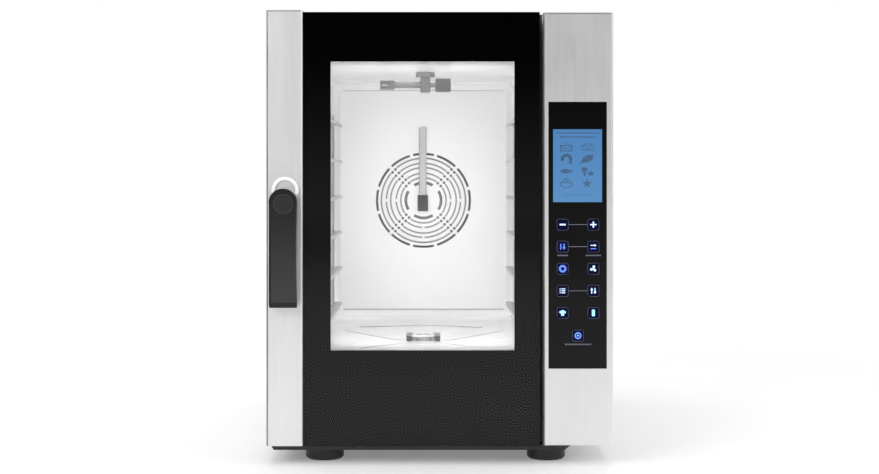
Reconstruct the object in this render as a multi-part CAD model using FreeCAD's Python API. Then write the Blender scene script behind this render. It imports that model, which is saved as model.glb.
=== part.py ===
import FreeCAD, Part
import math
import os

# Countertop combi steamer oven. Millimetres, X to the right, Y to the back, Z up.
# The origin is on the floor, under the middle of the bounding box.

Vector = FreeCAD.Vector

# Overall planes, front to back
handle_reach = 35.0          # lever front ahead of the door face
door_thickness = 52.0
door_standoff = 8.0          # door back to cabinet front
casing_depth = 710.0
rear_reach = 20.0            # pipe stubs behind the casing
overall_depth = handle_reach + door_thickness + door_standoff + casing_depth + rear_reach
face_y = handle_reach - overall_depth / 2
door_back_y = face_y + door_thickness
cabinet_y = door_back_y + door_standoff
casing_back_y = cabinet_y + casing_depth
rear_y = casing_back_y + rear_reach

# Overall planes, left to right
body_width = 550.0
column_width = 57.6          # steel column of the door
control_width = 111.0        # steel control column of the cabinet
side_gap = 5.5               # door edge to control column
left_x = -body_width / 2
right_x = body_width / 2
glass_left = left_x + column_width
control_left = right_x - control_width
door_right = control_left - side_gap

# Overall planes, floor to top
foot_height = 20.5
plinth_height = 9.5
casing_height = 688.0
casing_bottom = foot_height + plinth_height
casing_top = casing_bottom + casing_height
door_lift = 0.8              # door bottom above the plinth
door_bottom = casing_bottom + door_lift
glass_top = casing_top + 1.0
column_top = casing_top + 4.0

# Sheet metal and fits
sheet = 1.5
frame_sheet = 2.0
fit_gap = 0.2                # between a pane or plug and its opening
running_gap = 0.05           # radial, shaft in bush
same_plane = 0.01            # planes closer than this are one
bend_radius = 3.0
casing_sheet = 1.2

# Glass door
glass_thickness = 6.0
print_thickness = 0.3
window_left_border = 44.2
window_right_border = 40.0
window_bottom_border = 151.0
window_top_border = 78.2
frame_reveal = 3.0           # door frame opening beyond the printed window
frame_edge_inset = 2.0       # door frame inside the glass edge
inner_glass_margin = 24.0
inner_seal_thickness = 1.0
inner_seal_width = 9.0
clip_width = 20.0
clip_height = 14.0
clip_thickness = 1.0
clip_places = (0.25, 0.75)   # shares of the window width
frame_chamfer = 4.0
window_x0 = glass_left + window_left_border
window_x1 = door_right - window_right_border
window_z0 = door_bottom + window_bottom_border
window_z1 = glass_top - window_top_border

# Door hinge
pivot_inset = 13.0
pivot_depth = 12.0
pin_radius = 3.5
pin_length = 20.0
bush_wall = 1.65
bush_play = 0.3              # bush end to bracket
bracket_plate = 6.0
bracket_play = 2.0           # bracket plate to door frame
bracket_eye = 5.0
bracket_width = 28.0
bracket_nose = 3.5           # bent arm of the bracket, seen from above
bracket_throat = 0.4         # share of the depth where the arm turns back
bracket_heel = 0.55
bracket_flange = 4.0
bracket_flange_height = 26.0
hinge_notch_width = 36.0
hinge_notch_height = 14.0
pivot_x = door_right - pivot_inset
pivot_y = face_y + pivot_depth
frame_bottom = door_bottom + frame_edge_inset
frame_top = glass_top - frame_edge_inset

# Door gasket
mouth_inset = 8.5            # mouth edge inside the cavity wall
gasket_width = 8.0
gasket_height = 6.5
gasket_inset = 2.0
gasket_round = 2.5

# Cooking cavity
cavity_margin = 34.15        # cavity walls beyond the window edges
cavity_drop = 4.8            # cavity floor below the window edge
cavity_rise = 4.2            # cavity ceiling above the window edge
service_depth = 110.0        # cavity back to casing back
cavity_round = 12.0
dish_depth = 9.0             # fall of the floor to the drain
insulation = 25.0
cavity_x = (window_x0 + window_x1) / 2
cavity_x0 = window_x0 - cavity_margin
cavity_x1 = window_x1 + cavity_margin
cavity_y0 = cabinet_y + frame_sheet
cavity_y1 = casing_back_y - service_depth
cavity_floor = window_z0 - cavity_drop
cavity_ceiling = window_z1 + cavity_rise

# Drain
drain_setback = 238.0        # drain centre behind the cavity front
drain_seat = 66.0
drain_radius = 18.0
drain_pipe_wall = 2.0
drain_flange = 12.0
drain_flange_height = 3.0
drain_pipe_drop = 60.0
drain_bend = 32.0
strainer_width = 60.0
strainer_plate = 2.0
strainer_rise = 8.0
strainer_skirt = 15.0
strainer_reach = 39.6        # leg bars from the centre, trimmed by the cap
drain_y = cavity_y0 + drain_setback
drain_floor = cavity_floor - dish_depth
drain_pipe_z = drain_floor - drain_pipe_drop

# Fan, baffle and heater
baffle_gap = 60.0            # baffle front to cavity back
baffle_side_gap = 16.2
baffle_head_gap = 17.0
baffle_lift = 17.6
baffle_fold = 9.0
baffle_round = 6.0
baffle_post_radius = 5.0
baffle_post_inset = 22.0
fan_offset = -1.1
fan_radius = 100.0
fan_depth = 38.0
fan_disc = 2.5
fan_front_clearance = 11.0
blade_count = 18
blade_length = 26.0
blade_thickness = 1.5
blade_slant = 25.0           # degrees from the radius
fan_hub_radius = 20.0
fan_hub_length = 18.0
shaft_radius = 6.0
shaft_grip = 22.0            # shaft inside the motor
shaft_end = 1.0              # shaft or spindle end beyond what it holds
nut_flat = 19.0
nut_height = 7.0
motor_radius = 50.0
motor_length = 62.0
motor_chamfer = 10.0
motor_gap = 1.0
motor_plate_radius = 64.0
motor_plate_thickness = 4.0
motor_stud_radius = 4.0
motor_stud_circle = 54.0
motor_stud_count = 4
heater_radius = 118.0
heater_tube = 4.25
heater_sleeve = 6.0
heater_pitch = 14.0
heater_coils = 2
heater_setback = 18.0        # second coil behind the fan front
heater_terminal_turns = (250.0, 290.0)
shaft_seal_radius = 14.0
shaft_seal_length = 8.0
baffle_y = cavity_y1 - baffle_gap
fan_x = cavity_x + fan_offset
fan_z = (cavity_floor + cavity_ceiling) / 2
baffle_width = cavity_x1 - cavity_x0 - 2 * baffle_side_gap
baffle_height = cavity_ceiling - cavity_floor - baffle_lift - baffle_head_gap
fan_y0 = baffle_y + fan_front_clearance
fan_y1 = fan_y0 + fan_depth

# Suction grille: radius, slot width, bridges at the quarter lines
grille_rings = [(83.0, 1.6, 1), (73.0, 1.6, 2), (64.6, 1.6, 1), (53.5, 1.6, 2), (44.6, 1.6, 1)]
rim_ring_radius = 91.5
rim_ring_width = 3.4
rim_slot_count = 12
rim_bridge = 4.0             # degrees
core_ring_radius = 34.7
core_ring_width = 5.6
spoke_half_width = 8.0
quarter_bridge = 3.0         # half width of a bridge on the quarter lines
spoke_hole_radius = 2.0
spoke_hole_count = 5
spoke_hole_start = 44.0
spoke_hole_pitch = 9.5

# Water injection in front of the baffle
injector_width = 14.7
injector_depth = 8.0
injector_top = 143.0         # above the fan centre
injector_offset = -1.3
injector_feed_radius = 5.0
injector_feed_drop = 8.0
block_width = 20.0
block_depth = 12.0
block_top = 10.6
block_bottom = 21.0

# Washing arm under the ceiling
wash_offset = 3.3
wash_setback = 268.0
wash_nut_radius = 17.0
wash_nut_height = 9.0
wash_spigot_radius = 5.0
wash_spigot_length = 32.0
wash_hub_radius = 9.0
wash_hub_length = 27.0
wash_play = 0.3
wash_arm_radius = 5.5
wash_arm_drop = 23.0
wash_arm_reach = 81.0
nozzle_length = 26.0
nozzle_side = 16.0
paddle_reach = 46.0
paddle_length = 28.0
paddle_height = 24.0
paddle_thickness = 4.0
paddle_slant = 14.0

# Tray racks
rack_levels = 6
rack_pitch = 69.0
rack_start = 35.0            # lowest shelf above the cavity floor
post_width = 20.0
post_thickness = 3.0
post_gap = 3.0
post_overhang = 18.0
post_front_inset = 26.0      # runner end to post
post_rear_inset = 19.0
knob_radius = 5.0
runner_shelf = 14.0
runner_lip = 4.0
runner_setback = 22.0
runner_rear_gap = 21.0       # runner end to baffle
runner_y0 = cavity_y0 + runner_setback
runner_y1 = baffle_y - runner_rear_gap

# Lamp in the right cavity wall
lamp_radius = 29.8
lamp_glass = 5.0
lamp_housing_depth = 24.0
lamp_setback = 140.0
lamp_rise = 276.0
lamp_housing_wall = 3.0

# Control column
fascia_lift = 2.2            # fascia bottom above the cabinet bottom
panel_left_border = 8.4
panel_right_border = 10.4
panel_bottom_border = 121.5
panel_height = 422.7
panel_glass = 4.0
display_side = 7.4           # panel edge to display
display_top = 43.4           # panel top to display
display_height = 115.4
display_recess = 0.4
display_body = 8.0
key_size = 19.0
key_thickness = 0.5
key_round = 4.0
key_pitch_x = 48.7
key_pitch_z = 35.0
key_rows = 5
key_left = 22.3              # panel edge to the first column of keys
key_bottom = 88.3            # panel bottom to the lowest pair
start_key_bottom = 52.3
board_thickness = 1.6
board_margin = 6.0
board_post_radius = 3.0
panel_x0 = control_left + panel_left_border
panel_x1 = right_x - panel_right_border
panel_z0 = casing_bottom + fascia_lift + panel_bottom_border
panel_z1 = panel_z0 + panel_height

# Handle
lever_width = 43.0
lever_thickness = 22.0
lever_top = 439.0            # above the floor
lever_length = 187.0
lever_left = 7.0             # column edge to lever edge
lever_waist = 1.5
lever_side_chamfer = 4.0
lever_tip_chamfer = 9.0
pivot_drop = 24.0            # lever top to spindle
pivot_from_left = 30.0       # column edge to spindle
lever_boss_radius = 15.0
lever_boss_gap = 0.3
cap_radius = 15.7
cap_rise = 0.8               # cap proud of the lever
rose_radius = 21.2
rose_rise = 21.5             # round rose above the spindle
rose_thickness = 1.2
rose_rim = 3.4
rose_rim_height = 3.2
rose_skirt_radius = 18.5
spindle_radius = 5.0
spindle_top_depth = 6.0      # lever front to spindle end
latch_start = 6.0            # pawl behind the cabinet front
latch_thickness = 8.0
latch_radius = 16.0
latch_hub = 8.5
latch_window_x = 21.0
latch_window_z = 20.0
latch_window_round = 8.0
strike_plate = 3.0
strike_cheek = 3.0
strike_width = 24.0
strike_pin_rise = 23.0
strike_pin_radius = 4.0
strike_cheek_top = 30.0
strike_pocket = 4.0          # free space round the strike in the insulation
lining_thickness = 2.0
spindle_x = left_x + pivot_from_left
spindle_z = lever_top - pivot_drop

# Plinth and feet
plinth_left = 5.0            # inset of the top edge from the casing
plinth_right = 65.0
plinth_front = 18.0          # behind the door face
plinth_back = 12.0
plinth_taper_left = 4.0
plinth_taper_right = 10.0
plinth_taper_front = 6.0
foot_radius = 31.0
foot_base_round = 3.5
foot_left = 88.0             # casing edge to foot centre
foot_right = 101.5
foot_front = 72.0            # door face to foot centre
foot_back = 70.0             # casing back to foot centre
stud_radius = 5.0
stud_length = 34.0
stud_hole = 6.0
socket_radius = 8.5
socket_height = 28.0

# Rear fittings
spigot_flange = 4.0          # flange seated on the back panel
spigot_flange_rim = 6.0
exhaust_radius = 15.0
exhaust_wall = 1.5
exhaust_inset = 62.0         # cavity wall to exhaust
exhaust_drop = 48.0
exhaust_flange = 8.0
inlet_radius = 13.2
inlet_wall = 3.0
inlet_pitch = 50.0
inlet_inset = 70.0           # casing side to the first inlet
inlet_z = 110.0
inlet_body = 34.0
inlet_body_depth = 40.0
gland_inset = 70.0
gland_z = 90.0
gland_radius = 14.0
gland_bore = 7.0
gland_reach = 18.0
gland_flange = 19.0
gland_flange_thickness = 4.0
stud_inset = 125.0
stud_z = 80.0
bond_radius = 3.0
bond_reach = 14.0
bond_nut_flat = 10.0
bond_nut_height = 5.0
hole_play = 0.3
gland_x = right_x - gland_inset
stud_x = right_x - stud_inset

# Casing details
panel_flange = 14.0
louvre_width = 60.0
louvre_height = 5.0
louvre_pitch = 14.0
side_louvres = 7
side_louvre_z = 120.0
side_louvre_back = 60.0
back_louvre_columns = 3
back_louvre_rows = 7
back_louvre_pitch = 90.0
back_louvre_z = 300.0
hood_depth = 3.0
screw_head_radius = 5.0
screw_head_height = 2.2
screw_slot = 1.0
screw_inset = 9.0
side_screws = 4
wire_hole_radius = 20.0


def at(x, y, z):
    return Vector(x, y, z)


def block(x0, x1, y0, y1, z0, z1):
    return Part.makeBox(x1 - x0, y1 - y0, z1 - z0, at(x0, y0, z0))


def rod(radius, start, end):
    run = end - start
    return Part.makeCylinder(radius, run.Length, start, run)


def tube(outer, inner, start, end):
    return rod(outer, start, end).cut(rod(inner, start, end))


def edges_along(shape, axis):
    chosen = []
    for edge in shape.Edges:
        if not isinstance(edge.Curve, Part.Line):
            continue
        if abs(edge.Curve.Direction.dot(axis)) > 0.999:
            chosen.append(edge)
    return chosen


def rounded_block(x0, x1, y0, y1, z0, z1, radius):
    # block whose four corners, seen from the front, are round
    shape = block(x0, x1, y0, y1, z0, z1)
    return shape.makeFillet(radius, edges_along(shape, at(0, 1, 0)))


def prism(points, direction):
    outline = Part.makePolygon(points + [points[0]])
    return Part.Face(outline).extrude(direction)


def frustum(low, high):
    # flat sided solid between two rectangles, each (x0, x1, y0, y1, z)
    rims = []
    for x0, x1, y0, y1, z in (low, high):
        rims.append([at(x0, y0, z), at(x1, y0, z), at(x1, y1, z), at(x0, y1, z)])
    outlines = list(rims)
    for step in range(4):
        other = (step + 1) % 4
        outlines.append([rims[0][step], rims[0][other], rims[1][other], rims[1][step]])
    faces = [Part.Face(Part.makePolygon(points + points[:1])) for points in outlines]
    return Part.Solid(Part.makeShell(faces))


def bent_rod(points, bend, radius):
    # round bar along straight runs joined by arcs
    edges = []
    start = points[0]
    for before, corner, after in zip(points, points[1:], points[2:]):
        into = (corner - before).normalize()
        out = (after - corner).normalize()
        half_turn = into.getAngle(out) / 2
        cut_back = bend * math.tan(half_turn)
        arc_start = corner - into * cut_back
        arc_end = corner + out * cut_back
        inward = (out - into).normalize()
        middle = corner + inward * (bend / math.cos(half_turn) - bend)
        edges.append(Part.LineSegment(start, arc_start).toShape())
        edges.append(Part.Arc(arc_start, middle, arc_end).toShape())
        start = arc_end
    edges.append(Part.LineSegment(start, points[-1]).toShape())
    heading = points[1] - points[0]
    section = Part.Face(Part.Wire(Part.makeCircle(radius, points[0], heading)))
    return Part.Wire(edges).makePipe(section)


def hexagon(flat, start, end):
    run = end - start
    corner = flat / math.sqrt(3)
    upright = abs(run.z) > abs(run.x) + abs(run.y)
    side = run.cross(at(0, 1, 0) if upright else at(0, 0, 1)).normalize()
    other = run.cross(side).normalize()
    points = []
    for step in range(6):
        turn = math.radians(60 * step)
        points.append(start + side * (corner * math.cos(turn)) + other * (corner * math.sin(turn)))
    return prism(points, run)


def ring_slot(centre_x, centre_z, radius, width, start, end, y0, y1):
    # arc shaped slot in a plate that faces the front, angles in degrees
    inner = radius - width / 2
    outer = radius + width / 2

    def point(r, turn):
        angle = math.radians(turn)
        return at(centre_x + r * math.cos(angle), y0, centre_z + r * math.sin(angle))

    middle = (start + end) / 2
    outline = Part.Wire([
        Part.Arc(point(inner, start), point(inner, middle), point(inner, end)).toShape(),
        Part.LineSegment(point(inner, end), point(outer, end)).toShape(),
        Part.Arc(point(outer, end), point(outer, middle), point(outer, start)).toShape(),
        Part.LineSegment(point(outer, start), point(inner, start)).toShape(),
    ])
    return Part.Face(outline).extrude(at(0, y1 - y0, 0))


# ---- casing ----

def foot_centres():
    columns = {"left": left_x + foot_left, "right": right_x - foot_right}
    rows = {"front": face_y + foot_front, "rear": casing_back_y - foot_back}
    return {row + "_" + column: (x, y) for row, y in rows.items() for column, x in columns.items()}


def base_plinth():
    top = (left_x + plinth_left, right_x - plinth_right, face_y + plinth_front, casing_back_y - plinth_back)
    tapers = (plinth_taper_left, -plinth_taper_right, plinth_taper_front, -plinth_taper_front)
    walls = (sheet, -sheet, sheet, -sheet)
    low = tuple(edge + taper for edge, taper in zip(top, tapers))
    tray = frustum(low + (foot_height,), top + (casing_bottom,))
    low_inside = tuple(edge + wall for edge, wall in zip(low, walls))
    top_inside = tuple(edge + wall for edge, wall in zip(top, walls))
    hollow = frustum(low_inside + (foot_height,), top_inside + (casing_bottom,))
    tray = tray.cut(hollow.cut(block(*top, foot_height, foot_height + sheet)))
    for x, y in foot_centres().values():
        tray = tray.cut(rod(stud_hole, at(x, y, foot_height), at(x, y, casing_bottom)))
    return tray


def bottom_panel():
    inner = casing_sheet
    panel = block(left_x + inner, right_x - inner, cavity_y0, casing_back_y - inner,
                  casing_bottom, casing_bottom + sheet)
    base = casing_bottom + sheet
    sockets = [rod(socket_radius, at(x, y, base), at(x, y, base + socket_height))
               for x, y in foot_centres().values()]
    panel = panel.fuse(sockets)
    bores = [rod(stud_radius + running_gap, at(x, y, casing_bottom), at(x, y, base + socket_height))
             for x, y in foot_centres().values()]
    return panel.cut(bores)


def foot(x, y):
    pad = rod(foot_radius, at(x, y, 0), at(x, y, foot_height))
    rim = [edge for edge in pad.Edges if edge.Length > 1 and edge.BoundBox.ZMax < same_plane]
    pad = pad.makeChamfer(foot_base_round, rim)
    return pad.fuse(rod(stud_radius, at(x, y, foot_height), at(x, y, foot_height + stud_length)))


def louvre_hood(x0, x1, y, z):
    # pressed hood that sheds water, open at the bottom
    slope = [at(x0, y, z), at(x0, y + hood_depth, z), at(x0, y, z + louvre_height)]
    hood = prism(slope, at(x1 - x0, 0, 0))
    drop = casing_sheet
    throat = [at(x0, y, z - drop), at(x0, y + hood_depth - drop, z - drop),
              at(x0, y, z + louvre_height - drop)]
    return hood.cut(prism(throat, at(x1 - x0, 0, 0)))


def side_panel(x0, x1, inward):
    panel = block(x0, x1, cavity_y0, casing_back_y, casing_bottom, casing_top)
    edge = x1 if inward > 0 else x0
    flange = sorted([edge, edge + inward * panel_flange])
    y1 = casing_back_y - casing_sheet
    return panel.fuse(block(flange[0], flange[1], y1 - casing_sheet, y1,
                            casing_bottom + sheet, casing_top - casing_sheet))


def left_side_panel():
    return side_panel(left_x, left_x + casing_sheet, 1)


def right_side_panel():
    panel = side_panel(right_x - casing_sheet, right_x, -1)
    y1 = casing_back_y - side_louvre_back
    for row in range(side_louvres):
        z0 = side_louvre_z + row * louvre_pitch
        panel = panel.cut(block(right_x - casing_sheet, right_x, y1 - louvre_width, y1,
                                z0, z0 + louvre_height))
    return panel


def top_panel():
    x0 = left_x + casing_sheet
    x1 = right_x - casing_sheet
    return block(x0, x1, cavity_y0, casing_back_y - casing_sheet, casing_top - casing_sheet, casing_top)


def rear_holes():
    holes = [(cavity_x, drain_pipe_z, drain_radius + drain_pipe_wall + hole_play),
             (exhaust_x(), exhaust_z(), exhaust_radius + hole_play),
             (gland_x, gland_z, gland_radius),
             (stud_x, stud_z, bond_radius)]
    return holes + [(x, inlet_z, inlet_radius + hole_play) for x in inlet_columns()]


def back_panel():
    y0 = casing_back_y - casing_sheet
    x0 = left_x + casing_sheet
    x1 = right_x - casing_sheet
    panel = block(x0, x1, y0, casing_back_y, casing_bottom + sheet, casing_top)
    for x, z, radius in rear_holes():
        panel = panel.cut(rod(radius, at(x, y0, z), at(x, casing_back_y, z)))
    for column in range(back_louvre_columns):
        centre = fan_x + (column - (back_louvre_columns - 1) / 2) * back_louvre_pitch
        for row in range(back_louvre_rows):
            z0 = back_louvre_z + row * louvre_pitch
            span = (centre - louvre_width / 2, centre + louvre_width / 2)
            hood = louvre_hood(span[0], span[1], casing_back_y, z0)
            panel = panel.cut(block(span[0], span[1], y0, casing_back_y, z0 - casing_sheet,
                                    z0 + louvre_height - 2 * casing_sheet)).fuse(hood)
    return panel


def front_frame():
    y1 = cabinet_y + frame_sheet
    frame = rounded_block(left_x, right_x, cabinet_y, y1, casing_bottom, casing_top, bend_radius)
    mouth = rounded_block(cavity_x0 + mouth_inset, cavity_x1 - mouth_inset, cabinet_y, y1,
                          cavity_floor, cavity_ceiling, cavity_round)
    wire_x = (control_left + right_x) / 2
    wire_z = (panel_z0 + panel_z1) / 2
    wires = rod(wire_hole_radius, at(wire_x, cabinet_y, wire_z), at(wire_x, y1, wire_z))
    return frame.cut(mouth).cut(latch_window(cabinet_y, y1)).cut(wires)


def latch_window(y0, y1):
    return rounded_block(spindle_x - latch_window_x, spindle_x + latch_window_x, y0, y1,
                         spindle_z - latch_window_z, spindle_z + latch_window_z, latch_window_round)


def screw_head(x, z, y):
    head = rod(screw_head_radius, at(x, y, z), at(x, y + screw_head_height, z))
    slot = block(x - screw_head_radius, x + screw_head_radius, y + screw_head_height / 2,
                 y + screw_head_height, z - screw_slot / 2, z + screw_slot / 2)
    return head.cut(slot)


def casing_screws():
    heads = []
    z_low = casing_bottom + sheet + 2 * screw_inset
    z_high = casing_top - 2 * screw_inset
    for x in (left_x + screw_inset, right_x - screw_inset):
        for step in range(side_screws):
            z = z_low + (z_high - z_low) * step / (side_screws - 1)
            heads.append(screw_head(x, z, casing_back_y))
    return Part.makeCompound(heads)


# ---- cavity ----

def dish(drop):
    # shallow pyramid of the cavity floor, lowered by the sheet for its underside
    seat = drain_seat / 2
    high = (cavity_x0 + cavity_round, cavity_x1 - cavity_round,
            cavity_y0 + cavity_round, cavity_y1 - cavity_round, cavity_floor - drop)
    low = (cavity_x - seat, cavity_x + seat, drain_y - seat, drain_y + seat, drain_floor - drop)
    return frustum(low, high)


def cavity_outside():
    shell = rounded_block(cavity_x0 - sheet, cavity_x1 + sheet, cavity_y0, cavity_y1 + sheet,
                          cavity_floor - sheet, cavity_ceiling + sheet, cavity_round + sheet)
    return shell.fuse(dish(sheet))


def rear_wall_holes():
    # x, z and radius of what passes through the cavity's back wall
    holes = [(fan_x, fan_z, shaft_seal_radius), (injector_x(), injector_feed_z(), injector_feed_radius),
             (exhaust_x(), exhaust_z(), exhaust_radius)]
    return holes + [(x, z, heater_sleeve) for x, z in heater_terminals()]


def cavity_liner():
    inside = rounded_block(cavity_x0, cavity_x1, cavity_y0, cavity_y1,
                           cavity_floor, cavity_ceiling, cavity_round)
    liner = cavity_outside().cut(inside).cut(dish(0))
    for x, z, radius in rear_wall_holes():
        liner = liner.cut(rod(radius, at(x, cavity_y1, z), at(x, cavity_y1 + sheet, z)))
    liner = liner.cut(rod(drain_radius, at(cavity_x, drain_y, drain_floor - sheet),
                          at(cavity_x, drain_y, drain_floor)))
    liner = liner.cut(rod(lamp_radius + fit_gap, lamp_centre(cavity_x1), lamp_centre(cavity_x1 + sheet)))
    spigot = at(wash_x(), wash_y(), cavity_ceiling)
    return liner.cut(rod(wash_spigot_radius, spigot, spigot + at(0, 0, sheet)))


def insulation_wrap():
    x0 = cavity_x0 - sheet - insulation
    x1 = cavity_x1 + sheet + insulation
    y1 = cavity_y1 + sheet + insulation
    z0 = drain_floor - sheet - insulation
    z1 = cavity_ceiling + sheet + insulation
    wrap = rounded_block(x0, x1, cavity_y0, y1, z0, z1, cavity_round + insulation)
    wrap = wrap.cut(cavity_outside())
    wrap = wrap.cut(rod(motor_plate_radius, at(fan_x, cavity_y1, fan_z), at(fan_x, y1, fan_z)))
    feed = injector_feed_radius + hole_play
    wrap = wrap.cut(rod(feed, at(injector_x(), cavity_y1, injector_feed_z()),
                        at(injector_x(), y1, injector_feed_z())))
    for x, z in heater_terminals():
        wrap = wrap.cut(rod(heater_sleeve + hole_play, at(x, cavity_y1, z), at(x, y1, z)))
    flange = drain_radius + drain_flange + hole_play
    wrap = wrap.cut(rod(flange, at(cavity_x, drain_y, z0), at(cavity_x, drain_y, drain_floor)))
    wrap = wrap.cut(rod(lamp_radius + lamp_housing_wall + hole_play, lamp_centre(cavity_x1), lamp_centre(x1)))
    vent = exhaust_radius + exhaust_flange + hole_play
    wrap = wrap.cut(rod(vent, at(exhaust_x(), cavity_y1, exhaust_z()), at(exhaust_x(), y1, exhaust_z())))
    locknut = wash_hub_radius + hole_play
    wrap = wrap.cut(rod(locknut, at(wash_x(), wash_y(), cavity_ceiling), at(wash_x(), wash_y(), z1)))
    pocket_x = spindle_x + latch_window_x + 2 * strike_plate + strike_pocket
    reach = latch_window_z + strike_cheek_top + strike_pocket
    return wrap.cut(block(x0, pocket_x, cavity_y0, latch_y() + latch_thickness + strike_pocket,
                          spindle_z - reach, spindle_z + reach))


def door_gasket():
    inner = (cavity_x0 + mouth_inset - gasket_inset, cavity_x1 - mouth_inset + gasket_inset,
             cavity_floor - gasket_inset, cavity_ceiling + gasket_inset)
    y0 = cabinet_y - gasket_height
    radius = cavity_round + gasket_inset
    opening = rounded_block(inner[0], inner[1], y0, cabinet_y, inner[2], inner[3], radius)
    wide = gasket_width
    ring = rounded_block(inner[0] - wide, inner[1] + wide, y0, cabinet_y,
                         inner[2] - wide, inner[3] + wide, radius + wide).cut(opening)
    front = [edge for edge in ring.Edges if edge.BoundBox.YMax < y0 + same_plane]
    return ring.makeChamfer(gasket_round, front)


def drain_outlet():
    top = drain_floor - sheet
    flange = rod(drain_radius + drain_flange, at(cavity_x, drain_y, top - drain_flange_height),
                 at(cavity_x, drain_y, top))
    route = [at(cavity_x, drain_y, top), at(cavity_x, drain_y, drain_pipe_z),
             at(cavity_x, rear_y, drain_pipe_z)]
    outer = drain_radius + drain_pipe_wall
    pipe = flange.fuse([bent_rod(route, drain_bend, outer), spigot_seat(cavity_x, drain_pipe_z, outer)])
    return pipe.cut(bent_rod(route, drain_bend, drain_radius))


def drain_strainer():
    half = strainer_width / 2
    low = drain_floor
    high = low + strainer_rise
    cap = block(cavity_x - half, cavity_x + half, drain_y - half, drain_y + half, high, high + strainer_plate)
    cap = cap.makeFillet(bend_radius, edges_along(cap, at(0, 0, 1)))
    skirt = tube(drain_radius - 2 * hole_play, drain_radius - strainer_plate - 2 * hole_play,
                 at(cavity_x, drain_y, low - strainer_skirt), at(cavity_x, drain_y, high))
    bars = []
    for turn in (45, 135):
        bar = block(-strainer_reach, strainer_reach, -strainer_plate, strainer_plate, low, high)
        bar.rotate(at(0, 0, 0), at(0, 0, 1), turn)
        bar.translate(at(cavity_x, drain_y, 0))
        bars.append(bar)
    footprint = block(cavity_x - half, cavity_x + half, drain_y - half, drain_y + half, low, high)
    throat = rod(drain_radius - 2 * hole_play, at(cavity_x, drain_y, low), at(cavity_x, drain_y, high))
    legs = bars[0].fuse(bars[1]).common(footprint).cut(throat)
    return cap.fuse([skirt, legs]).removeSplitter()


def lamp_centre(x):
    return at(x, cavity_y0 + lamp_setback, cavity_floor + lamp_rise)


def lamp_pane():
    return rod(lamp_radius, lamp_centre(cavity_x1), lamp_centre(cavity_x1 + lamp_glass))


def lamp_housing():
    outer = lamp_radius + lamp_housing_wall
    back = cavity_x1 + sheet + lamp_housing_depth
    cup = rod(outer, lamp_centre(cavity_x1 + sheet), lamp_centre(back))
    bore = rod(lamp_radius + fit_gap, lamp_centre(cavity_x1 + sheet), lamp_centre(cavity_x1 + lamp_glass))
    well = rod(lamp_radius - lamp_housing_wall, lamp_centre(cavity_x1 + sheet),
               lamp_centre(back - lamp_housing_wall))
    return cup.cut(bore).cut(well)


# ---- fan, baffle and heater ----

def fan_baffle():
    x0 = fan_x - baffle_width / 2
    x1 = fan_x + baffle_width / 2
    z0 = cavity_floor + baffle_lift
    z1 = z0 + baffle_height
    tray = rounded_block(x0, x1, baffle_y, baffle_y + baffle_fold, z0, z1, baffle_round)
    tray = tray.cut(rounded_block(x0 + sheet, x1 - sheet, baffle_y + sheet, baffle_y + baffle_fold,
                                  z0 + sheet, z1 - sheet, baffle_round - sheet))
    feed = at(injector_x(), baffle_y, injector_feed_z())
    openings = grille_slots() + spoke_holes() + [rod(injector_feed_radius, feed, feed + at(0, sheet, 0))]
    return tray.cut(openings)


def grille_arc(radius, width, start, end):
    return ring_slot(fan_x, fan_z, radius, width, start, end, baffle_y, baffle_y + sheet)


def grille_slots():
    slots = []
    step = 360 / rim_slot_count
    for number in range(rim_slot_count):
        start = step * (number - 0.5) + rim_bridge / 2
        slots.append(grille_arc(rim_ring_radius, rim_ring_width, start, start + step - rim_bridge))
    for radius, width, pieces in grille_rings + [(core_ring_radius, core_ring_width, 1)]:
        # four quadrants between the diagonal spokes, some bridged at their middle
        spoke = math.degrees(math.asin(spoke_half_width / radius))
        bridge = math.degrees(math.asin(quarter_bridge / radius)) if pieces > 1 else 0
        for quarter in range(4):
            middle = 90 * quarter
            arcs = [(middle - 45 + spoke, middle + 45 - spoke)]
            if pieces > 1:
                arcs = [(middle - 45 + spoke, middle - bridge), (middle + bridge, middle + 45 - spoke)]
            for start, end in arcs:
                slots.append(grille_arc(radius, width, start, end))
    return slots


def spoke_holes():
    # two rows of small holes along each diagonal spoke
    holes = []
    for quarter in range(4):
        angle = math.radians(45 + 90 * quarter)
        along = at(math.cos(angle), 0, math.sin(angle))
        across = at(-math.sin(angle), 0, math.cos(angle))
        for side in (-1, 1):
            for step in range(spoke_hole_count):
                reach = spoke_hole_start + step * spoke_hole_pitch
                place = at(fan_x, baffle_y, fan_z) + along * reach + across * (side * spoke_half_width / 2)
                holes.append(hexagon(2 * spoke_hole_radius, place, place + at(0, sheet, 0)))
    return holes


def baffle_posts():
    half = baffle_width / 2 - baffle_post_inset
    z0 = cavity_floor + baffle_lift + baffle_post_inset
    z1 = cavity_floor + baffle_lift + baffle_height - baffle_post_inset
    posts = []
    for x in (fan_x - half, fan_x + half):
        for z in (z0, z1):
            posts.append(rod(baffle_post_radius, at(x, baffle_y + sheet, z), at(x, cavity_y1, z)))
    return Part.makeCompound(posts)


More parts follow.
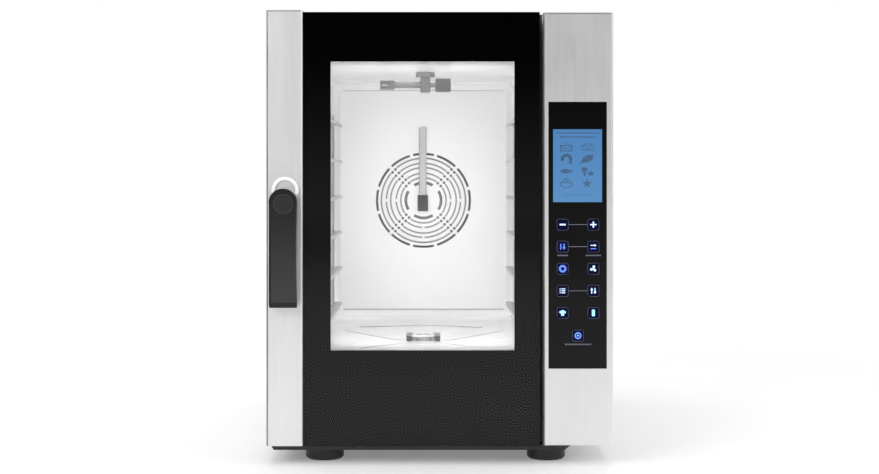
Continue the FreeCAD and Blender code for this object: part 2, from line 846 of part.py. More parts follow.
def fan_impeller():
    disc = rod(fan_radius, at(fan_x, fan_y1 - fan_disc, fan_z), at(fan_x, fan_y1, fan_z))
    ring = tube(fan_radius, fan_radius - blade_length, at(fan_x, fan_y0, fan_z),
                at(fan_x, fan_y0 + fan_disc, fan_z))
    hub = rod(fan_hub_radius, at(fan_x, hub_front_y(), fan_z), at(fan_x, fan_y1, fan_z))
    blades = []
    for number in range(blade_count):
        blade = block(fan_radius - blade_length, fan_radius - fan_disc, fan_y0, fan_y1,
                      -blade_thickness / 2, blade_thickness / 2)
        blade.rotate(at(fan_radius - blade_length / 2, 0, 0), at(0, 1, 0), blade_slant)
        blade.rotate(at(0, 0, 0), at(0, 1, 0), number * 360 / blade_count)
        blade.translate(at(fan_x, 0, fan_z))
        blades.append(blade)
    wheel = disc.fuse([ring, hub] + blades)
    return wheel.cut(rod(shaft_radius, at(fan_x, fan_y0, fan_z), at(fan_x, fan_y1, fan_z)))


def hub_front_y():
    return fan_y1 - fan_hub_length


def motor_front_y():
    return cavity_y1 + sheet + insulation + motor_plate_thickness


def fan_shaft():
    return rod(shaft_radius, at(fan_x, hub_front_y() - nut_height - shaft_end, fan_z),
               at(fan_x, motor_front_y() + shaft_grip, fan_z))


def fan_nut():
    nut = hexagon(nut_flat, at(fan_x, hub_front_y() - nut_height, fan_z), at(fan_x, hub_front_y(), fan_z))
    return nut.cut(rod(shaft_radius, at(fan_x, fan_y0 - fan_depth, fan_z), at(fan_x, fan_y1, fan_z)))


def shaft_seal():
    y1 = cavity_y1 + shaft_seal_length / 2
    return tube(shaft_seal_radius, shaft_radius + running_gap,
                at(fan_x, y1 - shaft_seal_length, fan_z), at(fan_x, y1, fan_z))


def motor_plate():
    y1 = motor_front_y()
    y0 = y1 - motor_plate_thickness
    plate = tube(motor_plate_radius, shaft_radius + motor_gap, at(fan_x, y0, fan_z), at(fan_x, y1, fan_z))
    studs = []
    for number in range(motor_stud_count):
        angle = math.radians(45 + 360 * number / motor_stud_count)
        x = fan_x + motor_stud_circle * math.cos(angle)
        z = fan_z + motor_stud_circle * math.sin(angle)
        studs.append(rod(motor_stud_radius, at(x, cavity_y1 + sheet, z), at(x, y0, z)))
    return plate.fuse(studs)


def fan_motor():
    y0 = motor_front_y()
    y1 = y0 + motor_length
    motor = rod(motor_radius, at(fan_x, y0, fan_z), at(fan_x, y1, fan_z))
    rim = [edge for edge in motor.Edges if edge.BoundBox.YMin > y1 - same_plane]
    motor = motor.makeChamfer(motor_chamfer, rim)
    return motor.cut(rod(shaft_radius + running_gap, at(fan_x, y0, fan_z),
                         at(fan_x, y0 + shaft_grip + motor_gap, fan_z)))


def heater_terminals():
    places = []
    for turn in heater_terminal_turns:
        angle = math.radians(turn)
        places.append((fan_x + heater_radius * math.cos(angle), fan_z + heater_radius * math.sin(angle)))
    return places


def heater_ring():
    # two open coils that end in a pair of terminal sleeves
    start_turn, end_turn = heater_terminal_turns
    first = fan_y0 + heater_setback - heater_pitch
    start = math.radians(end_turn)
    coils = []
    for number in range(heater_coils):
        y = first + number * heater_pitch
        begin = at(fan_x + heater_radius * math.cos(start), y, fan_z + heater_radius * math.sin(start))
        tangent = at(-math.sin(start), 0, math.cos(start))
        section = hexagon(heater_tube * math.sqrt(3), begin, begin + tangent).Faces
        section = min(section, key=lambda face: face.CenterOfMass.distanceToPoint(begin))
        sweep = 360 - (end_turn - start_turn)
        coils.append(section.revolve(at(fan_x, y, fan_z), at(0, -1, 0), sweep))
    end = cavity_y1 + sheet + insulation
    sleeves = [rod(heater_sleeve, at(x, first - heater_sleeve, z), at(x, end, z))
               for x, z in heater_terminals()]
    return coils[0].fuse(coils[1:] + sleeves)


# ---- water ----

def injector_x():
    return fan_x + injector_offset


def injector_feed_z():
    return fan_z + injector_top - injector_feed_drop


def injection_pipe():
    half = injector_width / 2
    bar = block(injector_x() - half, injector_x() + half, baffle_y - injector_depth, baffle_y,
                fan_z + block_top, fan_z + injector_top)
    bar = bar.makeFillet(bend_radius, edges_along(bar, at(0, 0, 1)))
    feed = at(injector_x(), baffle_y, injector_feed_z())
    return bar.fuse(rod(injector_feed_radius, feed, at(feed.x, cavity_y1 + sheet + insulation, feed.z)))


def injection_block():
    half = block_width / 2
    body = block(injector_x() - half, injector_x() + half, baffle_y - block_depth, baffle_y,
                 fan_z - block_bottom, fan_z + block_top)
    front = [edge for edge in body.Edges if edge.BoundBox.YMax < baffle_y - block_depth + same_plane]
    return body.makeChamfer(sheet, front)


def wash_x():
    return cavity_x + wash_offset


def wash_y():
    return cavity_y0 + wash_setback


def wash_hub():
    x = wash_x()
    y = wash_y()
    flange = hexagon(2 * wash_nut_radius * math.cos(math.pi / 6), at(x, y, cavity_ceiling - wash_nut_height),
                     at(x, y, cavity_ceiling))
    spigot = rod(wash_spigot_radius, at(x, y, cavity_ceiling - wash_spigot_length),
                 at(x, y, cavity_ceiling + insulation))
    upper = cavity_ceiling + sheet
    locknut = rod(wash_hub_radius, at(x, y, upper), at(x, y, upper + wash_nut_height))
    return flange.fuse([spigot, locknut])


def wash_arm():
    x = wash_x()
    y = wash_y()
    top = cavity_ceiling - wash_nut_height - wash_play
    hub = rod(wash_hub_radius, at(x, y, top - wash_hub_length), at(x, y, top))
    z = cavity_ceiling - wash_arm_drop
    left = rod(wash_arm_radius, at(x, y, z), at(x - wash_arm_reach + nozzle_length, y, z))
    right = rod(paddle_thickness, at(x, y, z), at(x + paddle_reach - paddle_length, y, z))
    arm = hub.fuse([left, right])
    bore_floor = cavity_ceiling - wash_spigot_length - wash_play
    return arm.cut(rod(wash_spigot_radius + running_gap, at(x, y, bore_floor), at(x, y, top)))


def wash_nozzle():
    x0 = wash_x() - wash_arm_reach
    z = cavity_ceiling - wash_arm_drop
    half = nozzle_side / 2
    body = block(x0, x0 + nozzle_length, wash_y() - half, wash_y() + half, z - half, z + half)
    body = body.makeFillet(bend_radius, edges_along(body, at(1, 0, 0)))
    slot = block(x0 + bend_radius, x0 + nozzle_length / 2, wash_y() - half, wash_y() + half,
                 z - sheet, z + sheet)
    return body.cut(slot)


def wash_paddle():
    x1 = wash_x() + paddle_reach
    z = cavity_ceiling - wash_arm_drop
    half = paddle_height / 2
    plate = block(x1 - paddle_length, x1, wash_y() - paddle_thickness / 2, wash_y() + paddle_thickness / 2,
                  z - half, z + half)
    plate = plate.makeFillet(bend_radius, edges_along(plate, at(0, 1, 0)))
    plate.rotate(at(x1, wash_y(), z), at(1, 0, 0), paddle_slant)
    return plate


# ---- tray racks ----

def rack_face(side):
    # inner face of the cavity wall, seen from the racks
    return cavity_x0 if side < 0 else cavity_x1


def ordered(a, b):
    return (a, b) if a < b else (b, a)


def rack_posts(side):
    wall = rack_face(side)
    x0, x1 = ordered(wall - side * post_gap, wall - side * (post_gap + post_thickness))
    z0 = cavity_floor + rack_start - post_overhang
    z1 = cavity_floor + rack_start + (rack_levels - 1) * rack_pitch + post_overhang
    posts = []
    for y0 in (runner_y0 + post_front_inset, runner_y1 - post_rear_inset - post_width):
        post = block(x0, x1, y0, y0 + post_width, z0, z1)
        knobs = []
        for z in (z0 + post_width / 2, z1 - post_width / 2):
            middle = y0 + post_width / 2
            knobs.append(rod(knob_radius, at(wall, middle, z), at(wall - side * post_gap, middle, z)))
        posts.append(post.fuse(knobs))
    return posts


def rack_runners(side):
    face = rack_face(side) - side * (post_gap + post_thickness)
    inner = face - side * runner_shelf
    y0 = runner_y0
    rails = []
    for level in range(rack_levels):
        z = cavity_floor + rack_start + level * rack_pitch
        profile = [at(face, y0, z + sheet), at(face, y0, z), at(inner + side * sheet, y0, z),
                   at(inner + side * sheet, y0, z - runner_lip), at(inner, y0, z - runner_lip),
                   at(inner, y0, z + sheet)]
        rails.append(prism(profile, at(0, runner_y1 - runner_y0, 0)))
    return rails


# ---- rear fittings ----

def exhaust_x():
    return cavity_x0 + exhaust_inset


def exhaust_z():
    return cavity_ceiling - exhaust_drop


def exhaust_pipe():
    wall = at(exhaust_x(), cavity_y1, exhaust_z())
    pipe = tube(exhaust_radius, exhaust_radius - exhaust_wall, wall, at(wall.x, rear_y, wall.z))
    flange = tube(exhaust_radius + exhaust_flange, exhaust_radius, wall + at(0, sheet, 0),
                  wall + at(0, 2 * sheet, 0))
    return pipe.fuse([flange, spigot_seat(wall.x, wall.z, exhaust_radius)])


def spigot_seat(x, z, radius):
    # flange that seats a pipe on the outside of the back panel
    return tube(radius + spigot_flange_rim, radius, at(x, casing_back_y, z),
                at(x, casing_back_y + spigot_flange, z))


def inlet_columns():
    return (left_x + inlet_inset, left_x + inlet_inset + inlet_pitch)


def water_inlets():
    inlets = []
    inside_y = casing_back_y - casing_sheet
    half = inlet_body / 2
    for x in inlet_columns():
        body = block(x - half, x + half, inside_y - inlet_body_depth, inside_y,
                     inlet_z - half, inlet_z + half)
        body = body.makeFillet(bend_radius, edges_along(body, at(0, 1, 0)))
        spigot = rod(inlet_radius, at(x, inside_y, inlet_z), at(x, rear_y, inlet_z))
        bore = rod(inlet_radius - inlet_wall, at(x, inside_y, inlet_z), at(x, rear_y, inlet_z))
        inlets.append(body.fuse([spigot, spigot_seat(x, inlet_z, inlet_radius)]).cut(bore))
    return Part.makeCompound(inlets)


def cable_gland():
    inside_y = casing_back_y - casing_sheet
    end = at(gland_x, casing_back_y + gland_reach, gland_z)
    neck = rod(gland_radius, at(gland_x, inside_y - gland_flange_thickness, gland_z), end)
    flat = 2 * gland_flange * math.cos(math.pi / 6)
    outer = hexagon(flat, at(gland_x, casing_back_y, gland_z),
                    at(gland_x, casing_back_y + gland_flange_thickness, gland_z))
    inner = hexagon(flat, at(gland_x, inside_y - gland_flange_thickness, gland_z),
                    at(gland_x, inside_y, gland_z))
    body = neck.fuse([outer, inner])
    return body.cut(rod(gland_bore, at(gland_x, inside_y - gland_flange_thickness, gland_z), end))


def equipotential_stud():
    inside_y = casing_back_y - casing_sheet
    stud = rod(bond_radius, at(stud_x, inside_y, stud_z), at(stud_x, casing_back_y + bond_reach, stud_z))
    head = hexagon(bond_nut_flat, at(stud_x, inside_y - bond_nut_height, stud_z),
                   at(stud_x, inside_y, stud_z))
    nut = hexagon(bond_nut_flat, at(stud_x, casing_back_y, stud_z),
                  at(stud_x, casing_back_y + bond_nut_height, stud_z))
    return stud.fuse([head, nut])


# ---- control column ----

def control_fascia():
    z0 = casing_bottom + fascia_lift
    outer = block(control_left, right_x, face_y, cabinet_y, z0, casing_top)
    outer = outer.makeFillet(bend_radius, edges_along(outer, at(0, 0, 1)))
    inner = block(control_left + sheet, right_x - sheet, face_y + sheet, cabinet_y,
                  z0 + sheet, casing_top - sheet)
    return outer.cut(inner).cut(panel_plate(-fit_gap, face_y, face_y + sheet))


def panel_plate(shrink, y0, y1):
    return block(panel_x0 + shrink, panel_x1 - shrink, y0, y1, panel_z0 + shrink, panel_z1 - shrink)


def display_block(grow, y0, y1):
    z0 = panel_z1 - display_top - display_height
    return block(panel_x0 + display_side - grow, panel_x1 - display_side + grow, y0, y1,
                 z0 - grow, z0 + display_height + grow)


def control_glass():
    y1 = face_y + panel_glass
    glass = panel_plate(0, face_y, y1)
    ledge = panel_plate(-2 * sheet, face_y + sheet, y1)
    return glass.fuse(ledge).removeSplitter().cut(display_block(fit_gap, face_y, y1))


def display():
    y0 = face_y + display_recess
    return display_block(0, y0, y0 + display_body)


def key_centres():
    centres = []
    for row in range(key_rows):
        z = panel_z0 + key_bottom + row * key_pitch_z
        for column in range(2):
            centres.append((panel_x0 + key_left + column * key_pitch_x, z))
    return centres + [(panel_x0 + key_left + key_pitch_x / 2, panel_z0 + start_key_bottom)]


def touch_keys():
    half = key_size / 2
    keys = []
    for x, z in key_centres():
        keys.append(rounded_block(x - half, x + half, face_y - key_thickness, face_y,
                                  z - half, z + half, key_round))
    return Part.makeCompound(keys)


def control_board():
    y0 = face_y + display_recess + display_body
    board = block(panel_x0 + board_margin, panel_x1 - board_margin, y0, y0 + board_thickness,
                  panel_z0 + board_margin, panel_z1 - board_margin)
    posts = []
    inset = board_margin + 2 * board_post_radius
    for x in (panel_x0 + inset, panel_x1 - inset):
        for z in (panel_z0 + inset, panel_z1 - inset):
            posts.append(rod(board_post_radius, at(x, face_y + panel_glass, z), at(x, y0, z)))
    return board.fuse(posts)


# ---- door ----

def window_block(margin, y0, y1):
    return block(window_x0 - margin, window_x1 + margin, y0, y1, window_z0 - margin, window_z1 + margin)


def outer_glass():
    return block(glass_left, door_right, face_y, face_y + glass_thickness, door_bottom, glass_top)


def glass_print():
    y0 = face_y + glass_thickness
    y1 = y0 + print_thickness
    return block(glass_left, door_right, y0, y1, door_bottom, glass_top).cut(window_block(0, y0, y1))


def hinge_levels():
    # plate end of the door frame, direction towards the door's middle
    return ((frame_bottom + hinge_notch_height, 1), (frame_top - hinge_notch_height, -1))


def door_frame():
    y0 = face_y + glass_thickness + print_thickness
    frame = block(glass_left, door_right, y0, door_back_y, frame_bottom, frame_top)
    back_edge = [edge for edge in edges_along(frame, at(0, 0, 1))
                 if edge.BoundBox.XMin > door_right - same_plane
                 and edge.BoundBox.YMin > door_back_y - same_plane]
    frame = frame.makeChamfer(frame_chamfer, back_edge)
    frame = frame.cut(window_block(frame_reveal, y0, door_back_y))
    rebate_y = inner_glass_y() - inner_seal_thickness
    frame = frame.cut(window_block(inner_glass_margin + fit_gap, rebate_y, door_back_y))
    for z, inward in hinge_levels():
        notch = ordered(z, z - inward * hinge_notch_height)
        frame = frame.cut(block(pivot_x - hinge_notch_width, door_right, y0, door_back_y, notch[0], notch[1]))
        frame = frame.cut(rod(pin_radius + bush_wall, at(pivot_x, pivot_y, z),
                              at(pivot_x, pivot_y, z + inward * pin_length)))
    return frame


def inner_glass_y():
    return door_back_y - glass_thickness


def inner_glass():
    return window_block(inner_glass_margin, inner_glass_y(), door_back_y)


def inner_glass_seal():
    y1 = inner_glass_y()
    y0 = y1 - inner_seal_thickness
    ring = window_block(inner_glass_margin, y0, y1)
    return ring.cut(window_block(inner_glass_margin - inner_seal_width, y0, y1))


def inner_glass_clips():
    clips = []
    y1 = door_back_y + clip_thickness
    for share in clip_places:
        x = window_x0 + (window_x1 - window_x0) * share
        for z in (window_z0 - inner_glass_margin, window_z1 + inner_glass_margin):
            clips.append(block(x - clip_width / 2, x + clip_width / 2, door_back_y, y1,
                               z - clip_height / 2, z + clip_height / 2))
    return Part.makeCompound(clips)


def hinge_bushes():
    bushes = []
    for z, inward in hinge_levels():
        start = z - inward * (bracket_play - bush_play)
        bushes.append(tube(pin_radius + bush_wall, pin_radius + running_gap, at(pivot_x, pivot_y, start),
                           at(pivot_x, pivot_y, z + inward * pin_length)))
    return Part.makeCompound(bushes)


def hinge_brackets():
    brackets = []
    for z, inward in hinge_levels():
        near = z - inward * bracket_play
        far = near - inward * bracket_plate
        back = cabinet_y - pivot_y
        z0, z1 = ordered(near, far)
        outline = [at(-bracket_eye, 0, 0), at(0, -bracket_eye / 2, 0), at(bracket_nose, bracket_nose, 0),
                   at(-bracket_eye, bracket_throat * back, 0), at(-bracket_eye, back, 0),
                   at(-bracket_width, back, 0), at(-bracket_width, bracket_heel * back, 0)]
        arm = prism([point + at(pivot_x, pivot_y, z0) for point in outline], at(0, 0, bracket_plate))
        eye = rod(bracket_eye, at(pivot_x, pivot_y, z0), at(pivot_x, pivot_y, z1))
        pin = rod(pin_radius, at(pivot_x, pivot_y, near),
                  at(pivot_x, pivot_y, z + inward * (pin_length - bracket_play)))
        span = ordered(far, far + inward * bracket_flange_height)
        flange = block(pivot_x - bracket_width, pivot_x - bracket_eye, cabinet_y - bracket_flange, cabinet_y,
                       span[0], span[1])
        brackets.append(arm.fuse([eye, pin, flange]))
    return Part.makeCompound(brackets)


def door_column():
    outer = block(left_x, glass_left, face_y, door_back_y, door_bottom, column_top)
    outer = outer.makeFillet(bend_radius, [edge for edge in edges_along(outer, at(0, 0, 1))
                                           if edge.BoundBox.YMax < face_y + same_plane])
    inner = block(left_x + sheet, glass_left - sheet, face_y + sheet, door_back_y,
                  door_bottom + sheet, column_top - sheet)
    spindle = rod(spindle_radius + running_gap, at(spindle_x, face_y, spindle_z),
                  at(spindle_x, face_y + sheet, spindle_z))
    return outer.cut(inner).cut(spindle)


def column_lining():
    cover = block(left_x + sheet, glass_left - sheet, door_back_y - lining_thickness, door_back_y,
                  door_bottom + sheet, column_top - sheet)
    return cover.cut(rod(spindle_radius + running_gap, at(spindle_x, face_y, spindle_z),
                         at(spindle_x, door_back_y, spindle_z)))


# ---- handle ----

def handle_rose():
    # round dished rose above the spindle, with a plain skirt behind the lever
    y0 = face_y - rose_thickness
    centre_z = spindle_z + rose_rise
    disc = rod(rose_radius, at(spindle_x, y0, centre_z), at(spindle_x, face_y, centre_z))
    skirt = rod(rose_skirt_radius, at(spindle_x, y0, spindle_z), at(spindle_x, face_y, spindle_z))
    rim = tube(rose_radius, rose_radius - rose_rim, at(spindle_x, face_y - rose_rim_height, centre_z),
               at(spindle_x, face_y, centre_z))
    clear = rod(rose_skirt_radius - bend_radius, at(spindle_x, face_y - rose_rim_height, spindle_z),
                at(spindle_x, y0, spindle_z))
    rose = disc.fuse([skirt, rim]).cut(clear)
    return rose.cut(rod(spindle_radius + running_gap, at(spindle_x, y0, spindle_z),
                        at(spindle_x, face_y, spindle_z)))


def lever_front_y():
    return face_y - handle_reach + cap_rise


def handle_lever():
    x0 = left_x + lever_left
    x1 = x0 + lever_width
    radius = lever_width / 2
    z_head = lever_top - radius
    z_tip = lever_top - lever_length
    front_y = lever_front_y()
    y = front_y + lever_thickness
    middle = (x0 + x1) / 2
    outline = Part.Wire([
        Part.Arc(at(x0, y, z_head), at(middle, y, lever_top), at(x1, y, z_head)).toShape(),
        Part.Arc(at(x1, y, z_head), at(x1 - lever_waist, y, (z_head + z_tip) / 2),
                 at(x1, y, z_tip)).toShape(),
        Part.LineSegment(at(x1, y, z_tip), at(x0, y, z_tip)).toShape(),
        Part.LineSegment(at(x0, y, z_tip), at(x0, y, z_head)).toShape(),
    ])
    lever = Part.Face(outline).extrude(at(0, -lever_thickness, 0))
    tip = [at(x0, front_y, z_tip), at(x0, front_y, z_tip + lever_tip_chamfer),
           at(x0, front_y + lever_tip_chamfer, z_tip)]
    lever = lever.cut(prism(tip, at(lever_width, 0, 0)))
    side = [at(x0, front_y, z_tip), at(x0 + lever_side_chamfer, front_y, z_tip),
            at(x0, front_y + lever_side_chamfer, z_tip)]
    lever = lever.cut(prism(side, at(0, 0, z_head - z_tip)))
    boss_y = face_y - rose_thickness - lever_boss_gap
    lever = lever.fuse(rod(lever_boss_radius, at(spindle_x, y, spindle_z), at(spindle_x, boss_y, spindle_z)))
    return lever.cut(rod(spindle_radius, at(spindle_x, spindle_front_y(), spindle_z),
                         at(spindle_x, face_y, spindle_z)))


def spindle_front_y():
    return lever_front_y() + spindle_top_depth


def handle_cap():
    return rod(cap_radius, at(spindle_x, lever_front_y() - cap_rise, spindle_z),
               at(spindle_x, lever_front_y(), spindle_z))


def latch_y():
    return cabinet_y + latch_start


def handle_spindle():
    return rod(spindle_radius, at(spindle_x, spindle_front_y(), spindle_z),
               at(spindle_x, latch_y() + latch_thickness + shaft_end, spindle_z))


def latch_hook():
    # cam with one long nose that points up when the door is held
    y0 = latch_y()
    hub = rod(latch_hub, at(spindle_x, y0, spindle_z), at(spindle_x, y0 + latch_thickness, spindle_z))
    sweep = rod(latch_radius, at(spindle_x, y0, spindle_z), at(spindle_x, y0 + latch_thickness, spindle_z))
    nose = block(spindle_x - latch_hub, spindle_x + latch_hub, y0, y0 + latch_thickness,
                 spindle_z, spindle_z + latch_radius)
    hook = hub.fuse(sweep.common(nose))
    return hook.cut(rod(spindle_radius, at(spindle_x, y0, spindle_z),
                        at(spindle_x, y0 + latch_thickness, spindle_z)))


def latch_strike():
    y0 = cabinet_y + frame_sheet
    y1 = y0 + strike_plate
    half = strike_width / 2
    margin = 2 * strike_plate
    plate = block(spindle_x - latch_window_x - strike_plate, spindle_x + latch_window_x + margin, y0, y1,
                  spindle_z - latch_window_z - margin, spindle_z + strike_cheek_top + margin)
    plate = plate.cut(latch_window(y0, y1))
    back = latch_y() + latch_thickness
    z_pin = spindle_z + strike_pin_rise
    cheeks = []
    for x in (spindle_x - half - strike_cheek, spindle_x + half):
        cheeks.append(block(x, x + strike_cheek, y1, back,
                            z_pin - strike_pin_radius, spindle_z + strike_cheek_top))
    middle = (y1 + back) / 2
    pin = rod(strike_pin_radius, at(spindle_x - half, middle, z_pin), at(spindle_x + half, middle, z_pin))
    return plate.fuse(cheeks + [pin])


def collect_parts():
    parts = {
        "base_plinth": base_plinth(), "bottom_panel": bottom_panel(),
        "left_side_panel": left_side_panel(), "right_side_panel": right_side_panel(),
        "top_panel": top_panel(), "back_panel": back_panel(), "casing_screws": casing_screws(),
        "front_frame": front_frame(), "latch_strike": latch_strike(), "hinge_brackets": hinge_brackets(),
        "door_gasket": door_gasket(), "cavity_liner": cavity_liner(), "insulation_wrap": insulation_wrap(),
        "drain_outlet": drain_outlet(), "drain_strainer": drain_strainer(),
        "lamp_pane": lamp_pane(), "lamp_housing": lamp_housing(),
        "fan_baffle": fan_baffle(), "baffle_posts": baffle_posts(), "fan_impeller": fan_impeller(),
        "fan_shaft": fan_shaft(), "fan_nut": fan_nut(), "shaft_seal": shaft_seal(),
        "motor_plate": motor_plate(), "fan_motor": fan_motor(), "heater_ring": heater_ring(),
        "injection_pipe": injection_pipe(), "injection_block": injection_block(),
        "wash_hub": wash_hub(), "wash_arm": wash_arm(),
        "wash_jets": Part.makeCompound([wash_nozzle(), wash_paddle()]),
        "exhaust_pipe": exhaust_pipe(), "water_inlets": water_inlets(),
        "cable_gland": cable_gland(), "equipotential_stud": equipotential_stud(),
        "control_fascia": control_fascia(), "control_glass": control_glass(), "display": display(),
        "touch_keys": touch_keys(), "control_board": control_board(),
        "outer_glass": outer_glass(), "glass_print": glass_print(), "door_frame": door_frame(),
        "inner_glass": inner_glass(), "inner_glass_seal": inner_glass_seal(),
        "inner_glass_clips": inner_glass_clips(), "hinge_bushes": hinge_bushes(),
        "door_column": door_column(), "column_lining": column_lining(), "handle_rose": handle_rose(),
        "handle_lever": handle_lever(), "handle_cap": handle_cap(), "handle_spindle": handle_spindle(),
        "latch_hook": latch_hook(),
    }
    for name, side in (("left", -1), ("right", 1)):
        parts[name + "_rack"] = Part.makeCompound(rack_posts(side) + rack_runners(side))
    for name, (x, y) in foot_centres().items():
        parts["foot_" + name] = foot(x, y)
    return parts


os.makedirs("parts", exist_ok=True)
for node, shape in collect_parts().items():
    shape.exportStep("parts/" + node + ".step")
    box = shape.BoundBox
    print(node, len(shape.Solids), shape.isValid(), round(shape.Volume), [
        round(value, 1) for value in (box.XMin, box.XMax, box.YMin, box.YMax, box.ZMin, box.ZMax)])
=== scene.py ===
import math

import bmesh
import bpy
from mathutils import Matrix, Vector


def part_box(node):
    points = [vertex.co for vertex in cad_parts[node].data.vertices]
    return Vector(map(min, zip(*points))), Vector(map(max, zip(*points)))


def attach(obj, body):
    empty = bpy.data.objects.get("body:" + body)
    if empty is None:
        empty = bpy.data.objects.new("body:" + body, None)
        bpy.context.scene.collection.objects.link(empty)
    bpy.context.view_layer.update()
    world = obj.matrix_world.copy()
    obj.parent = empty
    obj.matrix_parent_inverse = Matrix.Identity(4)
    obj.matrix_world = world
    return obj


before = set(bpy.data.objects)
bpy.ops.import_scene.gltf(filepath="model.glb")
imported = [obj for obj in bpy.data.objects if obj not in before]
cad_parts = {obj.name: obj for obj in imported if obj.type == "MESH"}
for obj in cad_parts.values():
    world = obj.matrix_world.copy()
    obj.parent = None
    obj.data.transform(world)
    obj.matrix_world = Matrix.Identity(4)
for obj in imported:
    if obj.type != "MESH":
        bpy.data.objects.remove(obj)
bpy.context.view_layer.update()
scene = bpy.context.scene
print("oven frame loaded:", len(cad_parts), "nodes")


# small helpers
def join(tree, start, end):
    tree.links.new(start, end)


def setInputs(tree, node, feeds):
    # an input is linked where its value is a socket, and set where it is a number or a colour
    for label, value in feeds.items():
        if isinstance(value, bpy.types.NodeSocket):
            join(tree, value, node.inputs[label])
        else:
            node.inputs[label].default_value = value


def addNode(tree, kind, feeds=None, **settings):
    node = tree.nodes.new(kind)
    for key, value in settings.items():
        setattr(node, key, value)
    setInputs(tree, node, feeds or {})
    return node


def mathNode(tree, operation, first, second=None, clamp=False):
    feeds = {0: first} if second is None else {0: first, 1: second}
    return addNode(tree, "ShaderNodeMath", feeds, operation=operation, use_clamp=clamp).outputs[0]


def spread(tree, value, low, high):
    # a 0 to 1 value stretched to low..high
    feeds = {"Value": value, "To Min": low, "To Max": high}
    return addNode(tree, "ShaderNodeMapRange", feeds, clamp=True).outputs["Result"]


def smoothRange(tree, value, fromLow, fromHigh, toLow, toHigh):
    feeds = {"Value": value, "From Min": fromLow, "From Max": fromHigh, "To Min": toLow, "To Max": toHigh}
    return addNode(tree, "ShaderNodeMapRange", feeds, interpolation_type="SMOOTHSTEP").outputs["Result"]


def tone(tree, factor, low, high):
    # two ends mixed by a 0 to 1 value; each end is a grey level, a colour or a socket
    feeds = {0: factor}
    for slot, end in ((6, low), (7, high)):
        if isinstance(end, float):
            end = (end, end, end)
        feeds[slot] = (*end, 1.0) if isinstance(end, tuple) else end
    return addNode(tree, "ShaderNodeMix", feeds, data_type="RGBA", clamp_factor=True).outputs[2]


def blend(tree, share, low, high):
    return addNode(tree, "ShaderNodeMix", {0: share, 2: low, 3: high}, data_type="FLOAT").outputs[0]


def objectPlace(tree):
    return addNode(tree, "ShaderNodeTexCoord").outputs["Object"]


def axes(tree, vector):
    # the X, Y and Z parts of a vector
    return addNode(tree, "ShaderNodeSeparateXYZ", {0: vector}).outputs


def cloudy(tree, vector, scale, detail=2.0, distortion=0.0):
    feeds = {"Vector": vector, "Scale": scale, "Detail": detail, "Distortion": distortion}
    return addNode(tree, "ShaderNodeTexNoise", feeds).outputs["Fac"]


def mixShaders(tree, share, first, second, leave):
    mix = addNode(tree, "ShaderNodeMixShader", {0: share, 1: first.outputs[0], 2: second.outputs[0]})
    join(tree, mix.outputs[0], leave.inputs["Surface"])


# shader groups
def shaderGroup(name, inputs, outputs):
    group = bpy.data.node_groups.new(name, "ShaderNodeTree")
    for label, value in inputs.items():
        kind = "NodeSocketVector" if isinstance(value, tuple) else "NodeSocketFloat"
        group.interface.new_socket(label, in_out="INPUT", socket_type=kind).default_value = value
    for label in outputs:
        group.interface.new_socket(label, in_out="OUTPUT", socket_type="NodeSocketFloat")
    return group, group.nodes.new("NodeGroupInput").outputs, group.nodes.new("NodeGroupOutput")


def makeBrushGroup():
    # long satin lines left by the grinding belt: a fine streak and a broad one
    group, entry, leave = shaderGroup(
        "beltGrain", {"Stretch": (900.0, 900.0, 14.0), "Broad Share": 0.3}, ["Streak", "Height"])
    stretched = {0: objectPlace(group), 1: entry["Stretch"]}
    place = addNode(group, "ShaderNodeVectorMath", stretched, operation="MULTIPLY").outputs[0]
    fine = cloudy(group, place, 1.0, 4.0)
    broad = cloudy(group, place, 0.09, 2.0)
    mixed = blend(group, entry["Broad Share"], fine, broad)
    setInputs(group, leave, {"Streak": spread(group, mixed, -0.6, 1.6), "Height": fine})
    return group


def makeMarksGroup():
    # cloudy wiping marks and the odd fine scratch of a kitchen machine
    group, entry, leave = shaderGroup(
        "wipingMarks", {"Cloud Size": 9.0, "Cloud Share": 0.5, "Scratch Share": 0.3}, ["Marks"])
    place = objectPlace(group)
    cloud = cloudy(group, place, entry["Cloud Size"], 5.0, 1.2)
    scratch = cloudy(group, place, 5.0, 7.0, 9.0)
    line = mathNode(group, "ABSOLUTE", mathNode(group, "SUBTRACT", scratch, 0.5))
    thin = mathNode(group, "SUBTRACT", 1.0, mathNode(group, "MULTIPLY", line, 55.0, clamp=True))
    clouded = mathNode(group, "MULTIPLY", spread(group, cloud, -0.7, 1.7), entry["Cloud Share"])
    scratched = mathNode(group, "MULTIPLY", thin, entry["Scratch Share"])
    setInputs(group, leave, {"Marks": mathNode(group, "ADD", clouded, scratched, clamp=True)})
    return group


def makeStippleGroup():
    # the fine stipple of moulded plastic, rubber and powder coat
    group, entry, leave = shaderGroup("mouldStipple", {"Grain": 1500.0, "Cells": 0.5}, ["Height", "Tint"])
    place = objectPlace(group)
    cells = addNode(group, "ShaderNodeTexVoronoi", {"Vector": place, "Scale": entry["Grain"]}, feature="SMOOTH_F1")
    noise = cloudy(group, place, entry["Grain"], 3.0)
    height = blend(group, entry["Cells"], noise, cells.outputs["Distance"])
    setInputs(group, leave, {"Height": height, "Tint": cloudy(group, place, 22.0, 6.0)})
    return group


